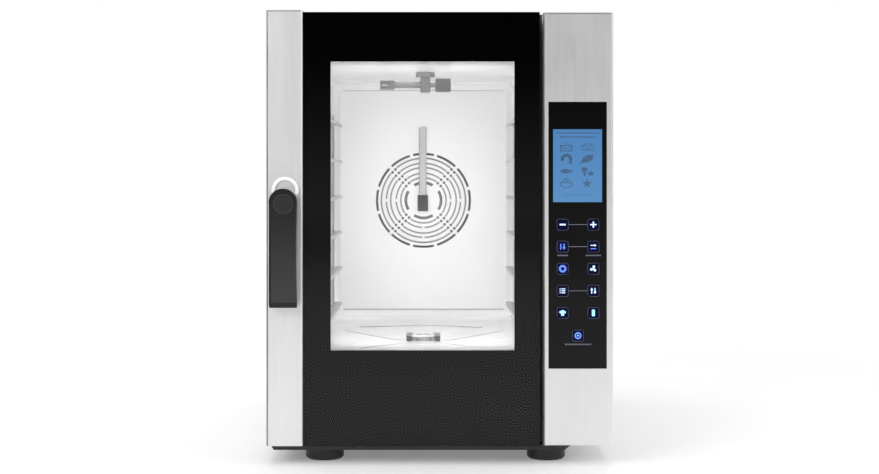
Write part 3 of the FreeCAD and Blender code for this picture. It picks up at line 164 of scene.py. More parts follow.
def makeRubGroup():
    # corners and edges that hands and trays have rubbed bare
    group, entry, leave = shaderGroup("rubbedEdge", {"Reach": 0.0012, "Patchiness": 120.0}, ["Rubbed"])
    rounded = addNode(group, "ShaderNodeBevel", {"Radius": entry["Reach"]}, samples=4)
    plain = addNode(group, "ShaderNodeNewGeometry")
    both = {0: rounded.outputs[0], 1: plain.outputs["Normal"]}
    same = addNode(group, "ShaderNodeVectorMath", both, operation="DOT_PRODUCT").outputs["Value"]
    bend = mathNode(group, "MULTIPLY", mathNode(group, "SUBTRACT", 1.0, same), 5.0, clamp=True)
    patch = cloudy(group, objectPlace(group), entry["Patchiness"])
    setInputs(group, leave, {"Rubbed": mathNode(group, "MULTIPLY", bend, patch, clamp=True)})
    return group


def makeFoldShadeGroup():
    # painted shade on the bent edge of a sheet: a darker line on left and upper folds; and a mask that lowers the
    # metal on right folds so they render brighter, a painted highlight
    group, entry, leave = shaderGroup("foldedEdgeShade", {"Depth": 0.5, "Patchiness": 25.0}, ["Fold", "Lit"])
    place = addNode(group, "ShaderNodeTexCoord").outputs
    x, y, z = axes(group, place["Normal"])
    facing = mathNode(group, "MULTIPLY", y, -1.0)
    bent = mathNode(group, "MULTIPLY", smoothRange(group, facing, 0.01, 0.06, 0.0, 1.0),
                    smoothRange(group, facing, 0.985, 0.9999, 1.0, 0.0))
    right = smoothRange(group, x, 0.05, 0.2, 0.0, 1.0)
    leftOrUp = mathNode(group, "MAXIMUM", mathNode(group, "MULTIPLY", x, -1.0), z)
    dark = mathNode(group, "MULTIPLY", bent, smoothRange(group, leftOrUp, 0.0, 0.1, 0.0, 1.0))
    patch = cloudy(group, place["Object"], entry["Patchiness"])
    uneven = mathNode(group, "MULTIPLY", spread(group, patch, 0.8, 1.2), entry["Depth"])
    setInputs(group, leave, {"Lit": mathNode(group, "MULTIPLY", bent, right, clamp=True),
                             "Fold": mathNode(group, "MULTIPLY", dark, uneven, clamp=True)})
    return group


brushGroup = makeBrushGroup()
marksGroup = makeMarksGroup()
stippleGroup = makeStippleGroup()
rubGroup = makeRubGroup()
foldShadeGroup = makeFoldShadeGroup()


def useGroup(tree, group, feeds):
    return addNode(tree, "ShaderNodeGroup", feeds, node_tree=group).outputs


# finishes
def startFinish(name):
    material = bpy.data.materials.new(name)
    material.use_nodes = True
    return material, material.node_tree, material.node_tree.nodes["Principled BSDF"]


def addRelief(tree, shader, height, strength, distance):
    bump = addNode(tree, "ShaderNodeBump", {"Height": height, "Strength": strength, "Distance": distance})
    join(tree, bump.outputs["Normal"], shader.inputs["Normal"])


def sheetMetal(name, dull, bright, smooth, rough, stretch, marks=0.35, cloud=7.0, relief=0.12, metal=1.0,
               fold=0.0, lit=0.0):
    # ground or rolled sheet: belt streaks in colour, gloss and relief, wiping marks in the gloss
    material, tree, shader = startFinish(name)
    grain = useGroup(tree, brushGroup, {"Stretch": stretch})
    wiped = useGroup(tree, marksGroup, {"Cloud Size": cloud, "Cloud Share": marks, "Scratch Share": 0.25})
    colour = tone(tree, grain["Streak"], dull, bright)
    # painted shade: the fold mask darkens left and upper folds; the lit mask lowers the metal on right folds as a
    # painted highlight
    if fold:
        edgeShade = useGroup(tree, foldShadeGroup, {"Depth": fold})
        colour = tone(tree, edgeShade["Fold"], colour, 0.12)
        if lit:
            metal = spread(tree, edgeShade["Lit"], metal, metal * (1.0 - lit))
    shine = mathNode(tree, "ADD", mathNode(tree, "MULTIPLY", grain["Streak"], 0.5),
                     mathNode(tree, "MULTIPLY", wiped["Marks"], 0.5))
    setInputs(tree, shader, {"Base Color": colour, "Metallic": metal, "Roughness": spread(tree, shine, smooth, rough)})
    addRelief(tree, shader, grain["Height"], relief, 0.0002)
    return material


def castMetal(name, dark, light, smooth, rough, grainSize, relief, rubbed=None):
    # cast, sintered or oxidised metal parts
    material, tree, shader = startFinish(name)
    skin = useGroup(tree, stippleGroup, {"Grain": grainSize, "Cells": 0.35})
    colour = tone(tree, spread(tree, skin["Tint"], -0.8, 1.8), dark, light)
    if rubbed:
        colour = tone(tree, useGroup(tree, rubGroup, {"Reach": 0.001})["Rubbed"], colour, rubbed)
    setInputs(tree, shader, {"Base Color": colour, "Metallic": 1.0,
                             "Roughness": spread(tree, skin["Tint"], smooth, rough)})
    addRelief(tree, shader, skin["Height"], relief, 0.0002)
    return material


def mouldedSkin(name, dark, light, smooth, rough, grainSize, relief, edgeTint=None, gloss=0.5):
    # plastic, rubber and paint: stipple relief, cloudy tint, slightly rubbed edges
    material, tree, shader = startFinish(name)
    skin = useGroup(tree, stippleGroup, {"Grain": grainSize})
    wiped = useGroup(tree, marksGroup, {"Cloud Size": 14.0})
    colour = tone(tree, spread(tree, skin["Tint"], -0.6, 1.6), dark, light)
    if edgeTint:
        colour = tone(tree, useGroup(tree, rubGroup, {"Reach": 0.0012})["Rubbed"], colour, edgeTint)
    setInputs(tree, shader, {"Base Color": colour, "Roughness": spread(tree, wiped["Marks"], smooth, rough),
                             "Specular IOR Level": gloss})
    addRelief(tree, shader, skin["Height"], relief, 0.00015)
    return material


def makeClearGlass():
    material, tree, shader = startFinish("clearPane")
    wiped = useGroup(tree, marksGroup, {"Cloud Size": 6.0, "Cloud Share": 0.6, "Scratch Share": 0.0})["Marks"]
    setInputs(tree, shader, {"Roughness": spread(tree, wiped, 0.0, 0.02), "IOR": 1.36,
                             "Base Color": tone(tree, wiped, 0.995, 0.975), "Transmission Weight": 1.0})
    # lamp light passes the pane, so the cavity behind it is lit
    path = addNode(tree, "ShaderNodeLightPath")
    through = addNode(tree, "ShaderNodeBsdfTransparent", {"Color": (0.97, 0.97, 0.97, 1.0)})
    mixShaders(tree, path.outputs["Is Shadow Ray"], shader, through, tree.nodes["Material Output"])
    return material


def makeGlossPanel(name, dark, light, specular):
    # back-printed glass: black ink under a hard gloss, with wiping marks in the gloss
    material, tree, shader = startFinish(name)
    wiped = useGroup(tree, marksGroup, {"Cloud Size": 5.0, "Cloud Share": 0.7, "Scratch Share": 0.12})["Marks"]
    setInputs(tree, shader, {"Base Color": tone(tree, wiped, dark, light), "Specular IOR Level": specular,
                             "Roughness": spread(tree, wiped, 0.06, 0.2)})
    return material


def makeDisplay():
    # backlit liquid crystal: even blue light with a fine dot raster and a brighter lower half
    material, tree, shader = startFinish("blueBacklight")
    dotPitch = 0.0006
    place = axes(tree, objectPlace(tree))
    raster = []
    for axis in ("X", "Z"):
        turn = mathNode(tree, "SINE", mathNode(tree, "MULTIPLY", place[axis], 2.0 * math.pi / dotPitch))
        raster.append(spread(tree, turn, 0.0, 0.5))
    dots = mathNode(tree, "ADD", *raster)
    low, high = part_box("display")
    lift = addNode(tree, "ShaderNodeMapRange", {"Value": place["Z"], "From Min": low[2], "From Max": high[2]})
    fading = tone(tree, lift.outputs["Result"], (0.125, 0.34, 0.68), (0.085, 0.26, 0.58))
    colour = tone(tree, spread(tree, dots, 0.0, 0.18), fading, (0.03, 0.10, 0.26))
    setInputs(tree, shader, {"Emission Color": colour, "Emission Strength": 0.62,
                             "Base Color": (0.02, 0.06, 0.12, 1.0), "Roughness": spread(tree, dots, 0.12, 0.2)})
    return material


def glowing(name, colour, core, strength):
    # light shining through a printed key mark, a little uneven
    material, tree, shader = startFinish(name)
    skin = useGroup(tree, stippleGroup, {"Grain": 900.0})
    setInputs(tree, shader, {"Emission Color": tone(tree, skin["Height"], core, colour),
                             "Emission Strength": strength, "Base Color": (*colour, 1.0),
                             "Roughness": spread(tree, skin["Tint"], 0.3, 0.45)})
    return material


def makeCircuitBoard():
    material, tree, shader = startFinish("greenBoard")
    tracks = addNode(tree, "ShaderNodeTexBrick", {
        "Vector": objectPlace(tree), "Scale": 160.0, "Mortar Size": 0.06, "Color1": (0.006, 0.10, 0.03, 1.0),
        "Color2": (0.008, 0.13, 0.04, 1.0), "Mortar": (0.10, 0.30, 0.08, 1.0)}).outputs
    setInputs(tree, shader, {"Base Color": tracks["Color"], "Roughness": spread(tree, tracks["Fac"], 0.25, 0.4)})
    addRelief(tree, shader, tracks["Fac"], 0.3, 0.0002)
    return material


def makeWool():
    # compressed mineral wool: long tangled fibres
    material, tree, shader = startFinish("rockWool")
    fibre = cloudy(tree, objectPlace(tree), 140.0, 8.0, 6.0)
    setInputs(tree, shader, {"Base Color": tone(tree, fibre, (0.34, 0.27, 0.14), (0.66, 0.58, 0.36)),
                             "Roughness": spread(tree, fibre, 0.85, 1.0), "Sheen Weight": 0.2})
    addRelief(tree, shader, fibre, 0.9, 0.003)
    return material


def makeStrainerSteel():
    # the drain strainer: lighter in its middle and darker at both ends, with two dark slot marks that are painted
    # shade
    material, tree, shader = startFinish("strainerSteel")
    low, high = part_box("drain_strainer")
    place = axes(tree, objectPlace(tree))
    aside, along = [mathNode(tree, "ABSOLUTE", mathNode(tree, "SUBTRACT", place[axis], (low[axis] + high[axis]) / 2))
                    for axis in (0, 1)]
    ends = smoothRange(tree, aside, 0.016, 0.022, 0.0, 1.0)
    # painted shade: two dark slot marks either side of the middle
    slot = mathNode(tree, "MULTIPLY", smoothRange(tree, aside, 0.001, 0.003, 0.0, 1.0),
                    smoothRange(tree, aside, 0.011, 0.013, 1.0, 0.0))
    slot = mathNode(tree, "MULTIPLY", slot, smoothRange(tree, along, 0.007, 0.010, 0.85, 0.0))
    wiped = useGroup(tree, marksGroup, {"Cloud Size": 60.0, "Cloud Share": 0.6, "Scratch Share": 0.1})["Marks"]
    toneShift, darkEndsAndSlotShade = tone(tree, wiped, 0.62, 0.80), tone(tree, wiped, 0.05, 0.10)
    setInputs(tree, shader, {"Base Color": tone(tree, mathNode(tree, "MAXIMUM", ends, slot), toneShift, darkEndsAndSlotShade),
                             "Roughness": spread(tree, wiped, 0.25, 0.5), "Metallic": 0.15})
    return material


def makeLeverSkin():
    # the lever: dull black plastic, greyer towards its lower tip; its left and lower faces are darker, a painted shade
    material, tree, shader = startFinish("leverSkin")
    low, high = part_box("handle_lever")
    skin = useGroup(tree, stippleGroup, {"Grain": 1700.0})
    place = addNode(tree, "ShaderNodeTexCoord").outputs
    toneShift = smoothRange(tree, axes(tree, place["Object"])["Z"], low[2], high[2], 1.0, 0.0)
    facing = axes(tree, place["Normal"])
    # painted shade: faces turned left or down get a darker colour
    shaded = mathNode(tree, "MAXIMUM", smoothRange(tree, facing["X"], -0.5, -0.1, 1.0, 0.0),
                      smoothRange(tree, facing["Z"], -0.5, -0.1, 1.0, 0.0))
    colour = tone(tree, shaded, tone(tree, toneShift, 0.006, 0.034), 0.002)
    setInputs(tree, shader, {"Base Color": colour, "Roughness": spread(tree, skin["Tint"], 0.4, 0.55),
                             "Specular IOR Level": 0.3})
    addRelief(tree, shader, skin["Height"], 0.2, 0.00015)
    return material


upright = (1100.0, 1100.0, 16.0)
lengthways = (1100.0, 16.0, 1100.0)
sideways = (16.0, 1100.0, 1100.0)

finishes = {
    "brushed_steel": sheetMetal("satinSteel", 0.88, 0.97, 0.38, 0.54, upright, fold=0.85),
    "cavity_steel": sheetMetal("linerSteel", 0.84, 0.92, 0.14, 0.3, upright, marks=0.6, cloud=11.0, metal=0.15),
    "baffle_steel": sheetMetal("baffleSteel", 0.84, 0.90, 0.36, 0.5, upright, marks=0.5, cloud=6.0, metal=0.15),
    "polished_steel": sheetMetal("polishedSteel", 0.68, 0.78, 0.3, 0.45, sideways, relief=0.05, metal=0.3),
    "pipe_steel": sheetMetal("pipeSteel", 0.46, 0.58, 0.3, 0.45, upright, metal=0.8),
    "fastener_steel": castMetal("fastenerSteel", 0.42, 0.6, 0.24, 0.4, 2400.0, 0.1, rubbed=0.8),
    "galvanised": castMetal("zincSheet", (0.42, 0.44, 0.46), (0.66, 0.68, 0.70), 0.3, 0.5, 160.0, 0.15),
    "black_enamel": mouldedSkin("blackEnamel", 0.008, 0.02, 0.25, 0.45, 500.0, 0.12, 0.10),
    "frame_black": mouldedSkin("frameBlack", 0.010, 0.022, 0.3, 0.5, 900.0, 0.15, 0.08),
    "motor_aluminium": castMetal("castAluminium", 0.4, 0.6, 0.35, 0.6, 900.0, 0.35, rubbed=0.75),
    "heater_metal": castMetal("heaterSheath", (0.10, 0.085, 0.08), (0.24, 0.21, 0.20), 0.35, 0.6, 1200.0, 0.2),
    "injector_dark": castMetal("injectorBlock", 0.15, 0.21, 0.35, 0.55, 1400.0, 0.15, rubbed=0.4),
    "inlet_brass": castMetal("inletBrass", (0.62, 0.42, 0.16), (0.80, 0.58, 0.26), 0.2, 0.4, 1800.0, 0.1,
                             rubbed=(0.9, 0.74, 0.42)),
    "clear_glass": makeClearGlass(),
    "panel_glass": makeGlossPanel("panelGlass", 0.002, 0.004, 0.2),
    "display_panel": makeDisplay(),
    "key_film": mouldedSkin("keyFilm", (0.001, 0.0015, 0.014), (0.0015, 0.003, 0.030), 0.25, 0.4, 2500.0, 0.05,
                            gloss=0.08),
    "circuit_board": makeCircuitBoard(),
    "black_plastic": mouldedSkin("footPlastic", 0.012, 0.026, 0.35, 0.55, 1100.0, 0.25, 0.07),
    "handle_plastic": mouldedSkin("handlePlastic", 0.012, 0.020, 0.38, 0.55, 1700.0, 0.2, 0.07, gloss=0.35),
    "gasket_rubber": mouldedSkin("gasketRubber", 0.035, 0.06, 0.6, 0.85, 800.0, 0.4),
    "seal_plastic": mouldedSkin("sealPlastic", (0.55, 0.53, 0.48), (0.72, 0.70, 0.64), 0.4, 0.6, 1300.0, 0.2),
    "mineral_wool": makeWool(),
}
topSteel = sheetMetal("satinTop", 0.86, 0.96, 0.38, 0.54, lengthways)
hubSteel = castMetal("hubSteel", 0.40, 0.52, 0.3, 0.45, 1800.0, 0.1, rubbed=0.55)
ownFinish = {
    "door_column": sheetMetal("columnSteel", 0.88, 0.97, 0.38, 0.54, upright, fold=0.85, lit=0.7),
    "top_panel": topSteel, "bottom_panel": topSteel,
    "glass_print": makeGlossPanel("doorInk", 0.0015, 0.0035, 0.165),
    "fan_impeller": mouldedSkin("fanSteel", 0.10, 0.18, 0.5, 0.65, 1500.0, 0.1, 0.3, gloss=0.3),
    "wash_jets": castMetal("jetSteel", 0.30, 0.44, 0.35, 0.55, 900.0, 0.3, rubbed=0.5),
    "wash_arm": hubSteel, "wash_hub": hubSteel,
    "injection_pipe": sheetMetal("waterSteel", 0.50, 0.58, 0.4, 0.55, upright, metal=0.25),
    "drain_strainer": makeStrainerSteel(), "handle_lever": makeLeverSkin(),
}

for nodeName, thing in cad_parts.items():
    for part in thing.material_slots:
        slotName = part.material.name.split(".")[0] if part.material else ""
        if nodeName in ownFinish:
            part.material = ownFinish[nodeName]
        elif slotName in finishes:
            part.material = finishes[slotName]
        else:
            print("no finish for", nodeName, slotName)
print("finishes on the oven's nodes:", len(finishes) + len(ownFinish))


# camera, lamps, floor
view = {"place": (-0.0155, -2.8275, 0.459), "lens": 63.3, "sensor": 36.0, "shift": (0.0108, -0.0694)}
cameraData = bpy.data.cameras.new("ovenCamera")
cameraData.lens = view["lens"]
cameraData.sensor_width = view["sensor"]
cameraData.shift_x, cameraData.shift_y = view["shift"]
camera = bpy.data.objects.new("ovenCamera", cameraData)
camera.location = view["place"]
camera.rotation_euler = (math.radians(90.0), 0.0, 0.0)
scene.collection.objects.link(camera)
scene.camera = camera
scene.view_settings.view_transform = "Standard"


def softLamp(name, place, target, size, power):
    data = bpy.data.lights.new(name, "AREA")
    data.shape = "RECTANGLE"
    data.size, data.size_y = size
    data.energy = power
    lamp = bpy.data.objects.new(name, data)
    lamp.location = place
    aim = Vector(target) - Vector(place)
    lamp.rotation_euler = aim.to_track_quat("-Z", "Y").to_euler()
    scene.collection.objects.link(lamp)
    return lamp


# name, place, target, size, watts
for lampRow in (("leftBox", (-2.3, -2.8, 2.1), (0.0, 0.0, 0.4), (2.6, 1.8), 66.0),
                ("rightBox", (2.6, -2.2, 1.6), (0.0, 0.0, 0.4), (1.6, 2.0), 22.0),
                ("topBox", (0.0, 0.2, 3.2), (0.0, 0.0, 0.4), (2.4, 2.4), 45.0),
                ("backBox", (0.6, 3.0, 1.8), (0.0, 0.3, 0.4), (2.0, 1.6), 12.0)):
    softLamp(*lampRow)
# the oven's own light: a soft patch behind the door, one in the fan chamber, narrow ones behind the baffle's edges
glow = {"front": 0.05, "size": (0.22, 0.32), "power": 1.38, "chamberSize": (0.21, 0.21), "chamberPower": 0.26,
        "edgeBack": 0.004, "edgePower": 0.05, "edgeWidth": 0.010, "lowerLift": 0.005}
mouthLow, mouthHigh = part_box("cavity_liner")
shieldLow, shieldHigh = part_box("fan_baffle")


def lightCavity():
    x, z = (mouthLow[0] + mouthHigh[0]) / 2, (mouthLow[2] + mouthHigh[2]) / 2
    behind = shieldHigh[1] + glow["edgeBack"]
    left, right = (mouthLow[0] + shieldLow[0]) / 2, (mouthHigh[0] + shieldHigh[0]) / 2
    lower = (mouthLow[2] + shieldLow[2]) / 2 + glow["lowerLift"]
    upper = (mouthHigh[2] + shieldHigh[2]) / 2
    tall = (glow["edgeWidth"], shieldHigh[2] - shieldLow[2])
    wide = (shieldHigh[0] - shieldLow[0], glow["edgeWidth"])
    for name, place, size, power in (
            ("cavityLamp", (x, mouthLow[1] + glow["front"], z), glow["size"], glow["power"]),
            ("leftEdge", (left, behind, z), tall, glow["edgePower"]),
            ("rightEdge", (right, behind, z), tall, glow["edgePower"]),
            ("lowerEdge", (x, behind, lower), wide, glow["edgePower"]),
            ("upperEdge", (x, behind, upper), wide, glow["edgePower"]),
            ("fanLamp", (x, behind, z), glow["chamberSize"], glow["chamberPower"])):
        lamp = softLamp(name, place, (place[0], place[1] + 1.0, place[2]), size, power)
        lamp.visible_camera = False
        lamp.visible_glossy = False
        lamp.visible_transmission = False


lightCavity()


def seenDirectly(tree):
    # 1 where the eye, a shiny surface or a pane looks at the studio, 0 where its light falls
    path = addNode(tree, "ShaderNodeLightPath").outputs
    shiny = mathNode(tree, "MAXIMUM", path["Is Glossy Ray"], path["Is Transmission Ray"])
    return mathNode(tree, "MAXIMUM", path["Is Camera Ray"], shiny), path["Is Camera Ray"]


# what shiny steel and glass mirror: dusk above the horizon behind the camera, a dim ring round it, paler sides
studio = {"frontCone": (-0.95, -0.82), "sideCone": (0.0, 0.7), "sideLevel": 0.55, "ringLevel": 0.3,
          "duskBand": (-0.06, 0.09), "duskLevels": (0.54, 0.0), "rightLevel": 0.62, "fill": 0.62,
          "floorFade": (0.9, 9.0, 1.0, 0.4), "floorHalf": 14.0, "floorWhite": (0.75, 1.8, 0.22, 1.0)}


def makeSky():
    world = bpy.data.worlds.new("paleStudio")
    scene.world = world
    world.use_nodes = True
    tree = world.node_tree
    tree.nodes.clear()
    seen, byEye = seenDirectly(tree)
    x, y, z = axes(tree, addNode(tree, "ShaderNodeTexCoord").outputs["Generated"])
    front = smoothRange(tree, y, *studio["frontCone"], 1.0, studio["ringLevel"])
    ringed = mathNode(tree, "MAXIMUM", front, smoothRange(tree, y, *studio["sideCone"], 0.0, studio["sideLevel"]))
    dusk = smoothRange(tree, z, *studio["duskBand"], *studio["duskLevels"])
    dusk = mathNode(tree, "MAXIMUM", dusk, smoothRange(tree, y, *studio["frontCone"], 0.0, 1.0))
    right = smoothRange(tree, x, 0.0, 0.4, 1.0, studio["rightLevel"])
    mirrored = mathNode(tree, "MULTIPLY", ringed, mathNode(tree, "MULTIPLY", dusk, right))
    white = (1.0, 1.0, 1.0, 1.0)
    bright = addNode(tree, "ShaderNodeBackground",
                     {"Color": white, "Strength": mathNode(tree, "MAXIMUM", mirrored, byEye)})
    plain = addNode(tree, "ShaderNodeBackground", {"Color": white, "Strength": studio["fill"]})
    mixShaders(tree, seen, plain, bright, addNode(tree, "ShaderNodeOutputWorld"))


def makeFloor():
    mesh = bpy.data.meshes.new("studioFloor")
    half = studio["floorHalf"]
    mesh.from_pydata([(-half, -half, 0.0), (half, -half, 0.0), (half, half, 0.0), (-half, half, 0.0)],
                     [], [(0, 1, 2, 3)])
    floor = bpy.data.objects.new("studioFloor", mesh)
    scene.collection.objects.link(floor)
    material, tree, shader = startFinish("paleFloor")
    place = objectPlace(tree)
    speck = cloudy(tree, place, 30.0)
    setInputs(tree, shader, {"Roughness": 0.9, "Base Color": tone(tree, speck, 0.93, 0.95)})
    seen, byEye = seenDirectly(tree)
    away = addNode(tree, "ShaderNodeVectorMath", {0: place}, operation="LENGTH").outputs["Value"]
    # white further out, and the lit floor with the oven's shadow close by
    share = mathNode(tree, "MULTIPLY", seen, smoothRange(tree, away, *studio["floorWhite"]))
    mirrored = smoothRange(tree, away, *studio["floorFade"])
    white = addNode(tree, "ShaderNodeEmission", {"Strength": mathNode(tree, "MAXIMUM", mirrored, byEye)})
    mixShaders(tree, share, shader, white, tree.nodes["Material Output"])
    mesh.materials.append(material)


makeSky()
makeFloor()
print("camera, lamps and floor set")


# making thin solids and flat printed marks
def stackRings(shell, rings):
    # a closed solid through rings of equally many corners
    shell.faces.new(rings[0])
    shell.faces.new(list(reversed(rings[-1])))
    for first, second in zip(rings, rings[1:]):
        for corner in range(len(first)):
            after = (corner + 1) % len(first)
            shell.faces.new((first[corner], second[corner], second[after], first[after]))


def ridePiece(name, shell, body, finish, splitFaces=False):
    bmesh.ops.recalc_face_normals(shell, faces=shell.faces)
    if splitFaces:
        bmesh.ops.triangulate(shell, faces=shell.faces)
    mesh = bpy.data.meshes.new(name)
    shell.to_mesh(mesh)
    shell.free()
    mesh.materials.append(finish)
    piece = bpy.data.objects.new(name, mesh)
    scene.collection.objects.link(piece)
    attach(piece, body)


def flatMarks(name, outlines, frontY, depth, body, finish):
    # outlines are lists of (x, z), anticlockwise seen from the front; each becomes a thin solid
    shell = bmesh.new()
    for outline in outlines:
        stackRings(shell, [[shell.verts.new((x, y, z)) for x, z in outline] for y in (frontY, frontY + depth)])
    ridePiece(name, shell, body, finish, splitFaces=True)


def moved(outline, x, z, size=1.0):
    return [(x + u * size, z + v * size) for u, v in outline]


def bar(width, height, x=0.0, z=0.0):
    return [(x - width / 2, z - height / 2), (x + width / 2, z - height / 2),
            (x + width / 2, z + height / 2), (x - width / 2, z + height / 2)]


def arc(radius, start, end, steps, x=0.0, z=0.0, squash=1.0):
    turns = [math.radians(start + (end - start) * step / steps) for step in range(steps + 1)]
    return [(x + radius * math.cos(turn), z + squash * radius * math.sin(turn)) for turn in turns]


def band(radius, width, start, end, steps, x=0.0, z=0.0, squash=1.0):
    # a bent strip between two arcs
    outer = arc(radius + width / 2, start, end, steps, x, z, squash)
    inner = arc(radius - width / 2, end, start, steps, x, z, squash)
    return outer + inner


def turned(outline, degrees):
    c, s = math.cos(math.radians(degrees)), math.sin(math.radians(degrees))
    return [(c * u - s * v, s * u + c * v) for u, v in outline]


def spokedShape(corners):
    # corners given as (degrees, radius)
    return [(radius * math.cos(math.radians(turn)), radius * math.sin(math.radians(turn)))
            for turn, radius in corners]


# geometry node trees
def growTree(name, inputs):
    tree = bpy.data.node_groups.new(name, "GeometryNodeTree")
    for label, kind in {"Geometry": "Geometry", **inputs, "Finish": "Material"}.items():
        tree.interface.new_socket(label, in_out="INPUT", socket_type="NodeSocket" + kind)
    tree.interface.new_socket("Geometry", in_out="OUTPUT", socket_type="NodeSocketGeometry")
    return tree, tree.nodes.new("NodeGroupInput").outputs, tree.nodes.new("NodeGroupOutput")


def closeTree(tree, entry, leave, shape):
    # every point of the host carries one copy of the shape
    spots = addNode(tree, "GeometryNodeInstanceOnPoints", {"Points": entry["Geometry"], "Instance": shape})
    solid = addNode(tree, "GeometryNodeRealizeInstances", {0: spots.outputs[0]})
    dress = addNode(tree, "GeometryNodeSetMaterial", {"Geometry": solid.outputs[0], "Material": entry["Finish"]})
    join(tree, dress.outputs[0], leave.inputs["Geometry"])
    return tree


def sweepLine(tree, entry, curve):
    # a curve stood up to face the front, swept as a thin line
    standing = addNode(tree, "GeometryNodeTransform", {"Geometry": curve, "Rotation": (math.radians(90.0), 0.0, 0.0)})
    profile = addNode(tree, "GeometryNodeCurvePrimitiveQuadrilateral",
                      {"Width": entry["Line"], "Height": entry["Thickness"]})
    feeds = {"Curve": standing.outputs[0], "Profile Curve": profile.outputs[0]}
    return addNode(tree, "GeometryNodeCurveToMesh", feeds).outputs[0]


def growPiece(name, points, tree, values, body):
    mesh = bpy.data.meshes.new(name)
    mesh.from_pydata(points, [], [])
    piece = bpy.data.objects.new(name, mesh)
    scene.collection.objects.link(piece)
    modifier = piece.modifiers.new("grow", "NODES")
    modifier.node_group = tree
    for socket in tree.interface.items_tree:
        if socket.in_out == "INPUT" and socket.name in values:
            modifier[socket.identifier] = values[socket.name]
    grown = bpy.data.meshes.new_from_object(piece.evaluated_get(bpy.context.evaluated_depsgraph_get()))
    piece.modifiers.clear()
    piece.data = grown
    grown.name = name
    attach(piece, body)


def makeOutlineTree():
    # a rounded square printed as one thin line
    tree, entry, leave = growTree(
        "keyOutline", {"Side": "Float", "Corner": "Float", "Line": "Float", "Thickness": "Float"})
    square = addNode(tree, "GeometryNodeCurvePrimitiveQuadrilateral",
                     {"Width": entry["Side"], "Height": entry["Side"]})
    feeds = {"Curve": square.outputs[0], "Radius": entry["Corner"], "Count": 4}
    rounded = addNode(tree, "GeometryNodeFilletCurve", feeds, mode="POLY")
    return closeTree(tree, entry, leave, sweepLine(tree, entry, rounded.outputs[0]))


def makeDashTree():
    # small printed bars
    tree, entry, leave = growTree("printedDash", {"Size": "Vector"})
    dash = addNode(tree, "GeometryNodeMeshCube", {"Size": entry["Size"]})
    return closeTree(tree, entry, leave, dash.outputs["Mesh"])


def makeRivetTree():
    # pop rivets: flattened balls whose domes face the back
    tree, entry, leave = growTree("popRivet", {"Radius": "Float", "Height": "Float"})
    ball = addNode(tree, "GeometryNodeMeshUVSphere", {"Segments": 14, "Rings": 8, "Radius": entry["Radius"]})
    ratio = mathNode(tree, "DIVIDE", entry["Height"], entry["Radius"])
    size = addNode(tree, "ShaderNodeCombineXYZ", {"X": 1.0, "Y": ratio, "Z": 1.0})
    flatter = addNode(tree, "GeometryNodeTransform", {"Geometry": ball.outputs["Mesh"], "Scale": size.outputs[0]})
    return closeTree(tree, entry, leave, flatter.outputs[0])


def makeRingLineTree():
    # a thin ring line round one point; round the grille's spoke holes it carries painted shade
    tree, entry, leave = growTree(
        "punchedLip", {"Radius": "Float", "Line": "Float", "Thickness": "Float", "Corners": "Int"})
    circle = addNode(tree, "GeometryNodeCurvePrimitiveCircle",
                     {"Resolution": entry["Corners"], "Radius": entry["Radius"]})
    return closeTree(tree, entry, leave, sweepLine(tree, entry, circle.outputs[0]))


outlineTree = makeOutlineTree()
dashTree = makeDashTree()
rivetTree = makeRivetTree()
ringLineTree = makeRingLineTree()

# control panel marks
panel = {
    "keySide": 0.019, "rowPitch": 0.035, "rows": 5, "outlineSide": 0.0178, "outlineCorner": 0.0030,
    "outlineLine": 0.0010, "printDepth": 0.00012, "linkHeight": 0.0008, "linkRows": (0, 1, 3),
}
greyPrint = mouldedSkin("greyPrint", (0.15, 0.15, 0.20), (0.21, 0.21, 0.28), 0.4, 0.5, 2600.0, 0.05, gloss=0.2)
keyLine = mouldedSkin("keyLine", (0.34, 0.34, 0.58), (0.42, 0.42, 0.66), 0.4, 0.5, 2600.0, 0.05, gloss=0.2)
whiteGlow = glowing("whiteGlow", (0.50, 0.68, 1.0), (0.75, 0.88, 1.0), 0.8)
blueGlow = glowing("blueGlow", (0.08, 0.17, 0.75), (0.18, 0.34, 0.92), 0.8)
cyanGlow = glowing("cyanGlow", (0.26, 0.58, 0.90), (0.42, 0.74, 1.0), 0.8)
keysLow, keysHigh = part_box("touch_keys")
keyHalf = panel["keySide"] / 2
columns = (keysLow[0] + keyHalf, keysHigh[0] - keyHalf)
rowHeights = [keysHigh[2] - keyHalf - row * panel["rowPitch"] for row in range(panel["rows"])]
startKey = ((columns[0] + columns[1]) / 2, keysLow[2] + keyHalf)
keySpots = [(x, z) for z in rowHeights for x in columns] + [startKey]
printY = keysLow[1] - panel["printDepth"] / 2

growPiece("keyOutlines", [(x, printY, z) for x, z in keySpots], outlineTree,
          {"Side": panel["outlineSide"], "Corner": panel["outlineCorner"], "Line": panel["outlineLine"],
           "Thickness": panel["printDepth"], "Finish": keyLine}, "cabinet")

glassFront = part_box("control_glass")[0][1]
linkLength = columns[1] - columns[0] - panel["outlineSide"]
growPiece("keyLinks", [(startKey[0], glassFront, rowHeights[row]) for row in panel["linkRows"]], dashTree,
          {"Size": (linkLength, panel["printDepth"], panel["linkHeight"]), "Finish": greyPrint}, "cabinet")


def dashRow(middle, y, z, count, pitch):
    return [(middle + (step - (count - 1) / 2) * pitch, y, z) for step in range(count)]


ticks = {"below": 0.0139, "pitch": 0.0022, "counts": (8, 11, 19), "size": (0.0013, 0.00012, 0.0022)}
tickSpots = []
for (x, z), count in zip(((columns[0], rowHeights[1]), (columns[1], rowHeights[1]), startKey), ticks["counts"]):
    tickSpots += dashRow(x, glassFront, z - ticks["below"], count, ticks["pitch"])
growPiece("panelTicks", tickSpots, dashTree, {"Size": ticks["size"], "Finish": greyPrint}, "cabinet")

